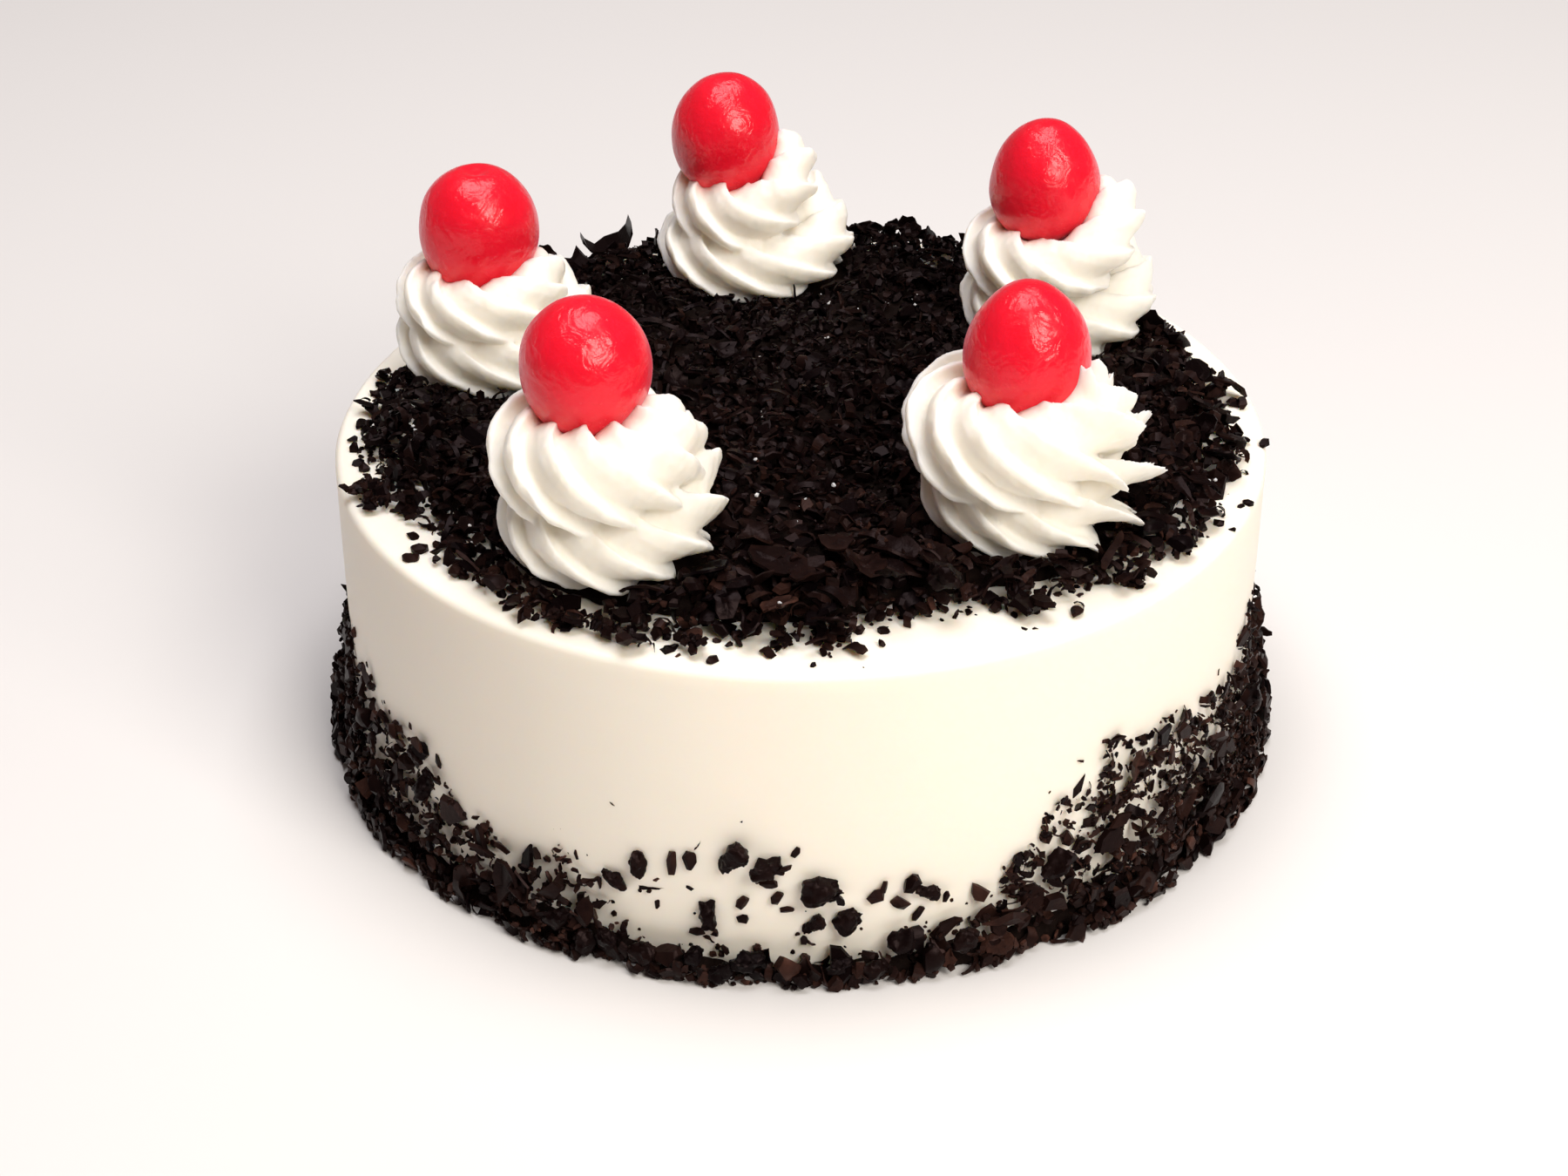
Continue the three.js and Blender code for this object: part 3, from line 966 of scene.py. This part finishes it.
# How far the bed reaches: bearing and distance, in degrees and millimetres.
BED_REACH = (
    (-180, 77.5), (-175, 78.5), (-171.5, 79.5), (-169.5, 76.5), (-165, 75.5), (-161, 78.5), (-157, 78),
    (-154, 76), (-148, 74), (-143, 75.5), (-139, 79), (-135, 75.5), (-122, 79), (-117, 74), (-111, 78),
    (-105, 76), (-101, 74), (-97, 75), (-92, 72), (-87, 76), (-82, 71.5), (-76, 68.5), (-70, 71.5),
    (-65, 71), (-61, 76), (-51, 75.5), (-46, 79), (-42, 76.5), (-38, 79.5), (-34.5, 77.5), (-31.5, 80),
    (-26.5, 79), (-20.5, 74.5), (-17, 77.5), (-13, 79), (-6, 79), (-1.6, 76.5), (2.3, 76), (5, 80),
    (9.5, 75.5), (13, 71.5), (16.3, 76), (22.8, 79), (30, 79), (60, 79), (90, 78), (115, 78), (135, 76),
    (160, 74), (166, 75.5), (171, 78.5), (175.5, 75.5),
)

# The chips of the bed, layer on layer: kind, how many are thrown, and their least and greatest size against
# the model.
BED_LAYERS = (
    ("crumb", 1500, 0.8, 1.8), ("bit", 1500, 0.6, 1.3), ("curl", 1800, 0.4, 0.9), ("lump", 250, 0.6, 1.1),
    ("shard", 1600, 0.35, 0.8), ("leaf", 1300, 0.35, 0.9), ("sliver", 500, 0.4, 1.0),
    ("shard", 1200, 0.4, 0.8), ("petal", 500, 0.5, 1.1), ("nugget", 60, 0.6, 1.0), ("lump", 200, 0.6, 1.1),
    ("leaf", 900, 0.4, 1.0), ("curl", 3600, 0.4, 0.95), ("petal", 350, 0.7, 1.5), ("shard", 500, 0.3, 0.8),
    ("bit", 500, 0.5, 1.1), ("sliver", 2200, 0.5, 1.4), ("curl", 2200, 0.35, 0.85),
    ("crumb", 2500, 0.4, 1.2),
)
CLOSING_LAYERS = (("curl", 500, 0.3, 0.7), ("sliver", 1000, 0.4, 1.1), ("crumb", 500, 0.4, 1.1))

# Stretches of the bed's edge where flakes stand up: first and last bearing, in degrees.
STANDING = ((58, 84), (112, 130), (8, 30), (-20, 4))

# Chips that stand out on top: kind, bearing and distance of the place, length, direction and lean. A cluster
# is a clump of small chips.
TOP_CHIPS = (
    ("crescent", 122, 76.5, 10, 14, 180), ("petal", 131, 74, 4.5, -60, 60),
    ("petal", 114.5, 75, 4, 100, 50), ("shard", 128, 75, 4, 50, 50), ("leaf", 112, 75.5, 4, -80, 60),
    ("petal", 73, 76.5, 5.5, -80, 65), ("shard", 70, 76.5, 5, 20, 60), ("petal", 76, 76, 5, 120, 55),
    ("leaf", 80, 76, 5, -60, 60), ("shard", 83, 76, 4.5, 30, 60), ("petal", 67, 76, 4.5, 60, 55),
    ("shard", 64, 76.5, 5.5, -40, 60), ("leaf", 61, 76, 5, 80, 50), ("petal", 57, 76.5, 5, 80, 50),
    ("petal", 22.8, 70.5, 6.5, 90, 60), ("leaf", 18.8, 73, 6.5, 60, 45), ("petal", 14.5, 74, 6.5, -30, 50),
    ("leaf", 11.5, 75, 6, 100, 35), ("petal", 6.5, 78.4, 7.5, 10, 30), ("petal", 6.5, 76.5, 4, -40, 55),
    ("leaf", 0, 75.5, 4, 60, 35), ("leaf", -4, 75.5, 6, 80, 40), ("petal", -10.7, 76.3, 7, 80, 35),
    ("leaf", -7, 77, 4.5, 80, 25), ("petal", -16, 75.5, 6.5, 70, 35), ("leaf", -20, 75, 6, -60, 35),
    ("petal", -25, 75.5, 6.5, 20, 30), ("leaf", -29.1, 78, 6.5, 60, 20), ("cluster", -33, 77, 4.5, 0, 0),
    ("bit", -6, 82, 2.6, 80, 0), ("bit", -21, 81.5, 2, 0, 0), ("bit", -22, 80.5, 1.6, 60, 0),
    ("bit", -27.6, 81.5, 1.4, 0, 0), ("cluster", -161.5, 79.3, 5, 0, 0), ("cluster", -158, 79.4, 4.5, 0, 0),
    ("cluster", 170, 77, 4.5, 0, 0), ("cluster", 166.5, 78, 3.5, 0, 0), ("cluster", 176, 76.5, 4, 0, 0),
    ("bit", -180, 78.5, 3, 60, 0), ("bit", -176, 79.5, 2, 20, 0), ("bit", -170, 78.5, 2.6, 80, 0),
    ("bit", -168, 77.5, 2.2, 110, 0), ("bit", -144.4, 79.5, 3, 30, 0), ("bit", -145.5, 77, 3, 30, 0),
    ("bit", -149, 76, 2.6, 150, 0), ("cluster", -132.5, 75, 5, 0, 0), ("cluster", -127, 77, 5, 0, 0),
    ("cluster", -124, 77.5, 5, 0, 0), ("cluster", -118.5, 76.5, 5, 0, 0), ("lump", -129.7, 77.5, 4, 0, 0),
    ("cluster", -129.7, 77, 4.5, 0, 0), ("bit", -126, 79, 2.6, 30, 0), ("cluster", -121.5, 77.5, 6, 20, 0),
    ("shard", -118, 77.5, 4, 60, 15), ("cluster", -114, 77, 4.5, 20, 15), ("cluster", -111, 77, 5, 60, 10),
    ("bit", -110.3, 80.5, 3, 120, 0), ("shard", -106, 76.5, 4, 100, 20),
    ("cluster", -103, 76.5, 4.5, 20, 10), ("shard", -102, 77.5, 3.5, 80, 15),
    ("bit", -100.5, 79, 2.4, 60, 0), ("petal", -97, 73.5, 6, 0, 15), ("cluster", -93, 73, 5, 0, 0),
    ("bit", -89, 79, 1.4, 90, 0), ("curl", -84, 76, 4.5, 140, 20), ("sliver", -88.5, 75.5, 4, 30, 0),
    ("petal", -86.5, 73.5, 6, 70, 30), ("nugget", -71, 69.5, 7, 100, 0), ("shard", -62, 74, 6.5, 20, 20),
    ("shard", -60, 76, 5, 120, 10), ("cluster", -61, 75.5, 5, 0, 0), ("cluster", -46, 77, 5, 0, 0),
    ("cluster", -36, 77, 4.5, 0, 0), ("bit", -56, 78, 3, 60, 0), ("shard", -48, 77.5, 4, 60, 10),
    ("lump", -37, 78, 4.5, 10, 0), ("petal", -94, 60.5, 9, 20, 8), ("petal", -84, 55, 8, 100, 12),
    ("petal", -76, 60, 8, 60, 10), ("petal", -104, 64, 8, 60, 16), ("petal", -89, 66, 7, 130, 20),
    ("petal", -98, 54, 7, 70, 15), ("petal", -81, 64, 7.5, 10, 15), ("petal", -70, 62, 7, 30, 20),
    ("petal", -100, 70, 6, -70, 30), ("petal", -93, 71, 6, 110, 25), ("petal", -78, 68, 6, 60, 20),
)


def top_bed(shapes, core, random):
    """The bed on top: chips thrown down until it is as thick as its solid, ragged and thin at its edge."""
    solid = surface(frame["nodes"]["shavings_top"].data)
    packed = surface(core.data)
    bearings, reaches = np.array(BED_REACH).T

    def height(tree, x, y, without):
        hit = tree.ray_cast(Vector((x, y, 1)), Vector((0, 0, -1)))[0]
        return hit.z if hit else without

    def reach(bearing):
        """How far the bed goes at a bearing in degrees, less the overhang of its chips."""
        return (np.interp(bearing, bearings, reaches, period=360) - 0.8) * MM

    def inside(x, y):
        """How far a place lies inside the bed's edge."""
        return reach(math.degrees(math.atan2(y, x))) - math.hypot(x, y)

    edge = CAKE_RADIUS + 2 * MM
    thin = CAKE_HEIGHT + 1.6 * MM  # the outline where there is no solid under the chips
    loose = 1.3 * MM  # how far the middle of a chip may lie above the outline
    ground = Ground((-edge, -edge), (edge, edge), lambda x, y: max(height(packed, x, y, 0), CAKE_HEIGHT))
    roof = Ground((-edge, -edge), (edge, edge), lambda x, y: height(solid, x, y, thin))
    heap = Heap(shapes, random, ground, world=lambda points: points, brown=1)
    feet = []
    for spec in ROSETTES.values():
        place = np.array(polar(spec["bearing"], spec["distance"]))
        feet.append((place, spec["width"] / 2 * spec["foot"] * MM))

    def from_feet(points):
        """How near a chip comes to each rosette's centre, beside the radius of its foot."""
        return [(np.linalg.norm(points[:, :2] - centre, axis=1).min(), half) for centre, half in feet]

    def fits(points):
        """Keeps a chip inside the outline of the solid, out of the rosettes and low beside them."""
        away = from_feet(points)
        if any(gap < 0.84 * half for gap, half in away):
            return None
        limit = roof.level[roof.cells(points)].mean() + loose
        x, y = points[:, :2].mean(axis=0)
        limit = min(limit, CAKE_HEIGHT + loose + max(0.9 * inside(x, y), 0))
        if any(gap < half + 2 * MM for gap, half in away):
            limit = min(limit, SEAT + 1.6 * MM)
        if points[:, 2].mean() > limit or points[:, 2].max() > limit + 3.5 * MM:
            return None
        if np.linalg.norm(points[:, :2], axis=1).max() > CAKE_RADIUS - 0.4 * MM:
            return None
        return points

    def low_clump(points):
        """Keeps a chip of a cluster if it lies low and clear of the rosettes."""
        clear = all(gap - half > -0.5 * MM for gap, half in from_feet(points))
        return points if clear and points[:, 2].mean() < CAKE_HEIGHT + 2.4 * MM else None

    def chance(x, y):
        """How likely a chip is to stay: surely in the bed, less at its ragged edge, rarely beyond."""
        within = inside(x, y) / MM + 1.4 * patches(x, y, 4 * MM, 1)
        if within > 1.6:
            return 1
        if within > -1:
            return 0.25 + 0.75 * (within + 1) / 2.6
        return 0.012 if within > -5 else 0

    def throw(layers):
        """Throws layers of chips all over the top, a quarter of them close to the bed's edge."""
        for kind, count, least, most in layers:
            for _ in range(count):
                bearing = random.uniform(-math.pi, math.pi)
                distance = (CAKE_RADIUS - 0.5 * MM) * math.sqrt(random.random())
                if random.random() < 0.25:
                    distance = reach(math.degrees(bearing)) - abs(random.normal(0, 3.5 * MM))
                x, y = distance * math.cos(bearing), distance * math.sin(bearing)
                coarse = coarse_and_lit(x, y)
                if kind in ("leaf", "petal", "lump", "nugget") and random.random() > 0.2 + 0.8 * coarse:
                    continue
                here = chance(x, y)
                if not stays(random, kind, here):
                    continue
                size = random.uniform(least, most) * (0.85 + 0.35 * coarse)
                if here < 0.5:
                    size *= 0.6
                heap.settle(kind, chip(shapes, random, kind, size), (x, y), 0.5 * MM, fits)

    def clump(at, length):
        """A cluster: a nugget in a clump of small chips, more of them where it is larger."""
        heap.place("nugget", at, 0.6 * length * MM, 0, random.uniform(0, 360), 0, low_clump, 0.9 * MM)
        for _ in range(round(1.1 * length**2)):
            kind = random.choice(("bit", "curl", "leaf", "shard", "crumb"))
            size = random.uniform(0.3, 0.6) * (1.5 if kind in ("bit", "crumb") else 1)
            beside = np.array(at) + random.normal(0, 0.22 * length * MM, 2)
            heap.settle(kind, chip(shapes, random, kind, size), beside, 0.7 * MM, low_clump)

    throw(BED_LAYERS)
    for first, last in STANDING:  # every 0.8 degrees, a flake near the edge
        for bearing in np.arange(first, last, 0.8):
            distance = reach(bearing) / MM - random.uniform(0.5, 8)
            kind = random.choice(("leaf", "petal", "petal", "curl"))
            heap.place(kind, polar(bearing, distance), random.uniform(4, 7.5) * MM, 0,
                       random.uniform(0, 360), random.uniform(20, 65), fits, 2 * MM)
    for kind, bearing, distance, length, yaw, tilt in TOP_CHIPS:
        at = polar(bearing, distance)
        if kind == "cluster":
            clump(at, length)
            continue
        # A leaning chip is pushed in by a third of its height.
        sink = 0.6 + 0.35 * length * abs(math.sin(math.radians(tilt)))
        heap.place(kind, at, length * MM, 0, yaw, tilt, lambda points: points, sink * MM)
        for _ in range(random.integers(0, 4) if length > 3.5 and kind != "crescent" else 0):
            kind = random.choice(("bit", "crumb", "sliver", "curl"))
            beside = np.array(at) + random.normal(0, 0.45 * length * MM, 2)
            heap.settle(kind, chip(shapes, random, kind, random.uniform(0.3, 0.8)), beside, 0.3 * MM, fits)
    throw(CLOSING_LAYERS)
    return heap


# ---------------------------------------------------------------- the band round the foot


# How high the band reaches: bearing, height that is packed with chips, and height of the sprinkling above.
BAND_REACH = (
    (-180, 24, 26), (-164, 28, 30), (-153, 24, 26), (-148, 21, 26), (-142, 20, 28), (-138, 15, 25),
    (-134, 9, 17), (-124, 13, 17), (-119, 14, 17), (-115, 10, 14), (-110, 6, 9), (-102, 6, 8), (-92, 5, 7),
    (-89, 7, 8), (-84, 5, 7), (-75, 9, 11), (-69, 10, 12), (-66, 13, 18), (-62, 13, 22), (-58, 10, 30),
    (-51, 9, 33), (-46, 8, 35), (-38, 13, 30), (-32, 12, 29), (-25, 11, 28), (-20, 13, 36), (-12, 14, 32),
    (-3, 17, 28), (10, 21, 24), (45, 13, 17), (80, 17, 20), (115, 12, 15), (150, 20, 23),
)

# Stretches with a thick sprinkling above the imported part: first and last bearing, and how many chips.
SPRINKLED = ((-149, -128, 900), (-128, -111, 900), (-67, -18, 6500))

# The chips of the band, layer on layer, as for the bed.
BAND_LAYERS = (
    ("crumb", 2600, 0.7, 1.7), ("curl", 1700, 0.4, 0.9), ("bit", 1300, 0.5, 1.2), ("shard", 900, 0.4, 0.9),
    ("leaf", 500, 0.4, 0.9), ("sliver", 500, 0.4, 0.9), ("lump", 300, 0.5, 1.0), ("curl", 1000, 0.4, 1.0),
    ("shard", 1100, 0.6, 1.3), ("leaf", 500, 0.6, 1.3), ("bit", 1300, 0.7, 1.5), ("nugget", 280, 0.5, 1.0),
    ("lump", 300, 0.6, 1.2), ("crumb", 2000, 0.5, 1.3),
)

# Chips that stand out on the side: kind, bearing, height of the middle, length, width and direction in the
# wall's plane (0 lies level, 90 stands upright, more leans to the left).
SIDE_CHIPS = (
    ("bit", -144, 27, 1.6, 1.0, 110), ("bit", -146, 25, 2.8, 1.8, 110), ("bit", -141, 26, 3.2, 2.2, 140),
    ("nugget", -142, 23, 4.0, 2.5, 150), ("nugget", -139, 20, 4.5, 4.0, 60),
    ("bit", -136, 14, 2.4, 1.3, 100), ("shard", -130, 14, 6.5, 2.6, 100), ("leaf", -125, 11, 9.5, 5.0, 80),
    ("sliver", -121, 14, 3.0, 1.2, 80), ("curl", -119, 14, 7.0, 3.0, 60), ("bit", -117, 18, 2.0, 0.8, 100),
    ("bit", -114, 14, 2.6, 1.0, 90), ("nugget", -112, 15.6, 5.2, 3.1, -50),
    ("nugget", -109, 19.8, 5.3, 3.2, 85), ("sliver", -108, 15, 5.6, 0.9, 8),
    ("bit", -107, 17, 1.4, 1.0, 10), ("bit", -105, 21, 4.8, 1.7, 88), ("bit", -103, 22.3, 3.8, 2.5, 80),
    ("sliver", -102, 25, 2.8, 0.9, 65), ("bit", -103, 16.5, 1.5, 0.9, -10), ("bit", -107, 12, 2.1, 1.2, 70),
    ("nugget", -98, 24.2, 7.0, 5.3, 80), ("nugget", -94, 22.8, 5.6, 4.2, -5),
    ("bit", -91, 25.2, 2.2, 1.3, 70), ("bit", -92, 22.9, 2.4, 1.2, 40), ("bit", -94, 19, 3.2, 2.2, -20),
    ("bit", -93, 16, 2.5, 2.0, 60), ("nugget", -88, 18, 7.2, 5.8, -15), ("bit", -86, 16.7, 2.4, 1.3, -60),
    ("bit", -92, 13.5, 2.4, 1.3, 5), ("nugget", -101, 12.3, 5.4, 3.5, 80), ("bit", -97, 14.7, 2.6, 1.8, 60),
    ("bit", -97, 11.5, 2.0, 1.7, 20), ("nugget", -89, 11, 4.8, 3.3, 65),
    ("nugget", -85, 11.5, 5.2, 4.8, 20), ("bit", -83, 6.5, 2.4, 2.1, 20), ("bit", -82, 16, 3.0, 2.2, 40),
    ("bit", -81, 17.7, 2.4, 1.1, 80), ("bit", -79, 14, 3.5, 2.6, -10), ("bit", -78, 17.8, 3.6, 2.6, 70),
    ("nugget", -76, 15.7, 4.3, 3.6, 10), ("bit", -74, 14.4, 2.2, 1.1, 80), ("bit", -77, 11, 3.0, 1.6, 55),
    ("shard", -74, 8.6, 5.6, 2.4, 45), ("shard", -66, 12.6, 5.0, 2.2, 5), ("leaf", -67, 9, 8.5, 4.4, -5),
    ("sliver", -66, 17, 3.2, 0.8, 65), ("nugget", -60, 16.5, 6.5, 4.5, 40),
    ("shard", -57, 27.6, 5.0, 2.0, 60), ("shard", -53, 16, 6.0, 4.5, 0), ("shard", -51, 19, 5.0, 2.5, 30),
    ("leaf", -49, 29, 6.0, 4.2, 70), ("shard", -44, 31, 4.0, 3.0, 60), ("shard", -40, 28.5, 4.0, 3.0, 120),
    ("leaf", -40, 13.6, 6.0, 4.0, 60), ("leaf", -35, 12, 7.0, 5.0, 20), ("shard", -32, 18.5, 6.0, 3.0, 80),
    ("bit", -32, 28.7, 3.0, 2.0, 120), ("bit", -25, 28.8, 1.6, 1.4, 0), ("nugget", -20, 20, 5.0, 4.0, 90),
    ("nugget", -112, 5.4, 4.0, 3.2, -50), ("nugget", -108, 4, 5.2, 4.2, 20),
    ("nugget", -102, 6, 4.5, 3.0, 60), ("nugget", -96, 5, 6.0, 4.0, -20),
    ("nugget", -86, 4.7, 4.6, 3.0, -10), ("nugget", -79, 7.8, 5.2, 4.4, 30),
    ("nugget", -72, 6.5, 5.0, 4.0, 60), ("nugget", -118, 7, 6.0, 4.4, 30),
    ("nugget", -115, 3.5, 5.0, 4.0, 80), ("lump", -105, 4.5, 5.0, 4.0, 0), ("nugget", -99, 3, 5.0, 3.6, 40),
    ("lump", -92, 4.4, 5.0, 4.0, 70), ("nugget", -82, 3.2, 5.0, 4.0, 0), ("lump", -76, 4, 5.0, 4.0, 50),
    ("nugget", -68, 4, 5.5, 4.4, 10), ("bit", -112, 30.4, 1.6, 0.7, -20), ("crumb", -116, 33, 0.6, 0.6, 0),
    ("crumb", -120, 21.6, 0.6, 0.6, 0), ("crumb", -119, 22.3, 0.8, 0.6, 0),
    ("crumb", -150, 53, 1.0, 0.7, 0), ("crumb", -155, 42, 0.9, 0.7, 0), ("crumb", -152, 40, 0.9, 0.7, 0),
)


def side_band(shapes, core, random):
    """The band round the foot, strewn on the side as if that were unrolled flat: along it, up and out."""
    solid = surface(frame["nodes"]["shavings_side"].data)
    packed = surface(core.data)
    bearings, packed_to, sprinkled_to = np.array(BAND_REACH).T
    floor_gap = 0.1 * MM  # the lowest that a chip lies
    solid_top = 30 * MM  # above it there is no solid under the chips
    half = math.pi * CAKE_RADIUS

    def out(tree, along, height):
        """How far the tree's surface stands out from the coat at a place along the side, or 0."""
        if height >= solid_top:
            return 0
        afar = 0.12  # outside the whole cake
        bearing = along / CAKE_RADIUS
        way = Vector((math.cos(bearing), math.sin(bearing), 0))
        start = way * afar + Vector((0, 0, max(height, floor_gap)))
        hit = tree.ray_cast(start, -way, afar - CAKE_RADIUS)[0]
        return hit.to_2d().length - CAKE_RADIUS if hit else 0

    def world(points):
        bearing = points[:, 0] / CAKE_RADIUS
        distance = CAKE_RADIUS + points[:, 2]
        return np.column_stack((distance * np.cos(bearing), distance * np.sin(bearing), points[:, 1]))

    low, high = (-half, -2 * MM), (half, 60 * MM)
    ground = Ground(low, high, lambda u, v: out(packed, u, v))
    roof = Ground(low, high, lambda u, v: out(solid, u, v))
    heap = Heap(shapes, random, ground, world, brown=1.8)

    def fits(points):
        """Keeps a chip inside the outline of the solid and above the floor, in thicker and thinner places."""
        lowest = points[:, 1].min()
        if lowest < floor_gap:
            points = points + (0, floor_gap - lowest, 0)
        thick = 0.6 + 0.35 * patches(points[0, 0], 0, 12 * MM, 3)
        limit = thick * roof.level[roof.cells(points)].mean() + 1.2 * MM
        if points[:, 2].mean() > limit or points[:, 2].max() > 5.6 * MM:
            return None
        return points

    def pressed_in(points):
        """A chosen chip is kept, pressed into the cream if it would stand out too far."""
        return points - (0, 0, max(points[:, 2].max() - 5.2 * MM, 0))

    def chance(u, v):
        """How likely a chip is to stay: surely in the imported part, in patches above it, rarely beyond."""
        degrees = math.degrees(u / CAKE_RADIUS)
        height = v / MM
        patch = patches(u, v, 5 * MM, 5)
        inside = np.interp(degrees, bearings, packed_to, period=360) - height + 2.2 * patch
        if inside > 2:
            return 1
        if inside > -1:
            return 0.2 + 0.8 * (inside + 1) / 3
        above = np.interp(degrees, bearings, sprinkled_to, period=360) - height + 3 * patch
        if above > 0:
            return 0.1 + min(max(3 * patches(u, v, 3.5 * MM, 9) + 0.6, 0), 0.9)
        return 0.006 if above > -6 else 0

    for kind, count, least, most in BAND_LAYERS:
        for _ in range(count):
            u = random.uniform(-half, half)
            v = 38 * MM * random.random() ** 1.5  # thickest at the foot
            here = chance(u, v)
            if not stays(random, kind, here):
                continue
            size = random.uniform(least, most) * (1 if here > 0.7 else 0.6)
            heap.settle(kind, chip(shapes, random, kind, size), (u, v), 0.5 * MM, fits)
    for kind, bearing, height, length, width, turned in SIDE_CHIPS:
        at = (math.radians(bearing) * CAKE_RADIUS, height * MM)
        heap.place(kind, at, length * MM, width * MM, turned, 0, pressed_in)
        for _ in range(random.integers(0, 3) if length > 3 else 0):
            beside = at + random.normal(0, 0.5 * length * MM, 2)
            crumb = chip(shapes, random, "crumb", random.uniform(0.4, 1))
            heap.settle("crumb", crumb, beside, 0.3 * MM, fits)
    for first, last, count in SPRINKLED:
        for _ in range(count):
            u = math.radians(random.uniform(first, last)) * CAKE_RADIUS
            v = random.uniform(8, 37) * MM
            if random.random() > chance(u, v):
                continue
            kind = random.choice(("curl", "leaf", "shard", "sliver", "bit", "crumb"))
            size = random.uniform(0.18, 0.5) * (1.6 if kind in ("bit", "crumb") else 1)
            heap.settle(kind, chip(shapes, random, kind, size), (u, v), 0.4 * MM, fits)
    return heap


# Flecks of cream on the bed, as places: bearing and distance, in degrees and millimetres.
FLECKS = ((80, 35), (64, 38), (77, 20), (59, 42), (-128, 11), (-162, 9), (-82, 35), (-106, 28), (-93, 48),
          (-90, 47), (-89, 42), (-100, 39), (-89, 69), (-93, 71))


def cream_flecks(heap, shapes, random, material):
    """Flecks of cream dropped among the flakes, at the chosen places and at a few others."""
    pile = Pile()
    places = [polar(*place) for place in FLECKS]
    for _ in range(16):
        places.append(polar(random.uniform(-180, 180), 74 * math.sqrt(random.random())))
    for x, y in places:
        for _ in range(random.integers(1, 5)):
            kind = "crumb" if random.random() < 0.6 else "bit"
            shape, points = chip(shapes, random, kind, random.uniform(0.15, 0.45))
            points = points + (x + random.normal(0, 0.5 * MM), y + random.normal(0, 0.9 * MM), 0)
            points = heap.ground.rest(points, 0.3 * MM)
            if points[:, 2].min() < SEAT + 4 * MM:
                pile.put(shape, points, 0)
    pile.joined("cream_flecks", material, "piped_cream")


# ---------------------------------------------------------------- studio


def camera():
    """A 67 mm lens that looks down on the cake from the front."""
    data = bpy.data.cameras.new("camera")
    data.lens = 67.052
    data.sensor_width = 36
    obj = bpy.data.objects.new("camera", data)
    bpy.context.scene.collection.objects.link(obj)
    obj.location = (-3.0065 * MM, -460.652 * MM, 306.344 * MM)
    obj.rotation_mode = "ZYX"
    obj.rotation_euler = (math.radians(90 - 31.469), 0, math.radians(-0.302))
    data.clip_start = 0.01
    bpy.context.scene.camera = obj


def floor(material):
    fresh()
    bpy.ops.mesh.primitive_plane_add(size=6)
    obj = added("floor")
    obj.data.materials.append(material)


def area_light(name, location, target, size, power, colour):
    data = bpy.data.lights.new(name, "AREA")
    data.shape = "RECTANGLE"
    data.size, data.size_y = size
    data.energy = power
    data.color = srgb(colour)[:3]
    obj = bpy.data.objects.new(name, data)
    bpy.context.scene.collection.objects.link(obj)
    obj.location = location
    obj.rotation_euler = (Vector(target) - Vector(location)).to_track_quat("-Z", "Y").to_euler()


def lights():
    """Soft daylight: a warm dim room, a skylight overhead and one large window high on the right."""
    world = bpy.data.worlds.new("room")
    bpy.context.scene.world = world
    world.use_nodes = True
    back = world.node_tree.nodes["Background"]
    back.inputs["Color"].default_value = srgb("#ffd8c9")
    back.inputs["Strength"].default_value = 0.1
    area_light("window", (0.5, -0.71, 0.8), (0, 0, 0.05), (0.6, 0.6), 12, "#fff9f0")
    area_light("skylight", (0, 0.1, 1.3), (0, 0, 0), (0.9, 0.9), 15, "#fbfafc")


# ---------------------------------------------------------------- the whole cake


def main():
    camera()
    lights()
    floor(pale_paper())
    cream_coat(smoothed_whipped_cream())
    piped = piped_whipped_cream()
    red = glace_cherry()
    random = np.random.default_rng(5)
    for name, spec in ROSETTES.items():
        rosette(name, spec, piped, random)
        cherry(name, CHERRIES[name], red)
    shapes = flake_shapes(random)
    crumbs = chocolate_crumbs()
    chocolate = dark_chocolate()
    core = heap_core("shavings_top", "top_bed_core", crumbs, inwards=0.9, upwards=1.0, lift=-2 * MM)
    bed = top_bed(shapes, core, random)
    bed.joined("top", chocolate)
    cream_flecks(bed, shapes, random, piped)
    core = heap_core("shavings_side", "side_band_core", crumbs, inwards=0.958, upwards=0.5, lift=0)
    side_band(shapes, core, random).joined("side", chocolate)
    bpy.context.scene.view_settings.view_transform = "Standard"


main()
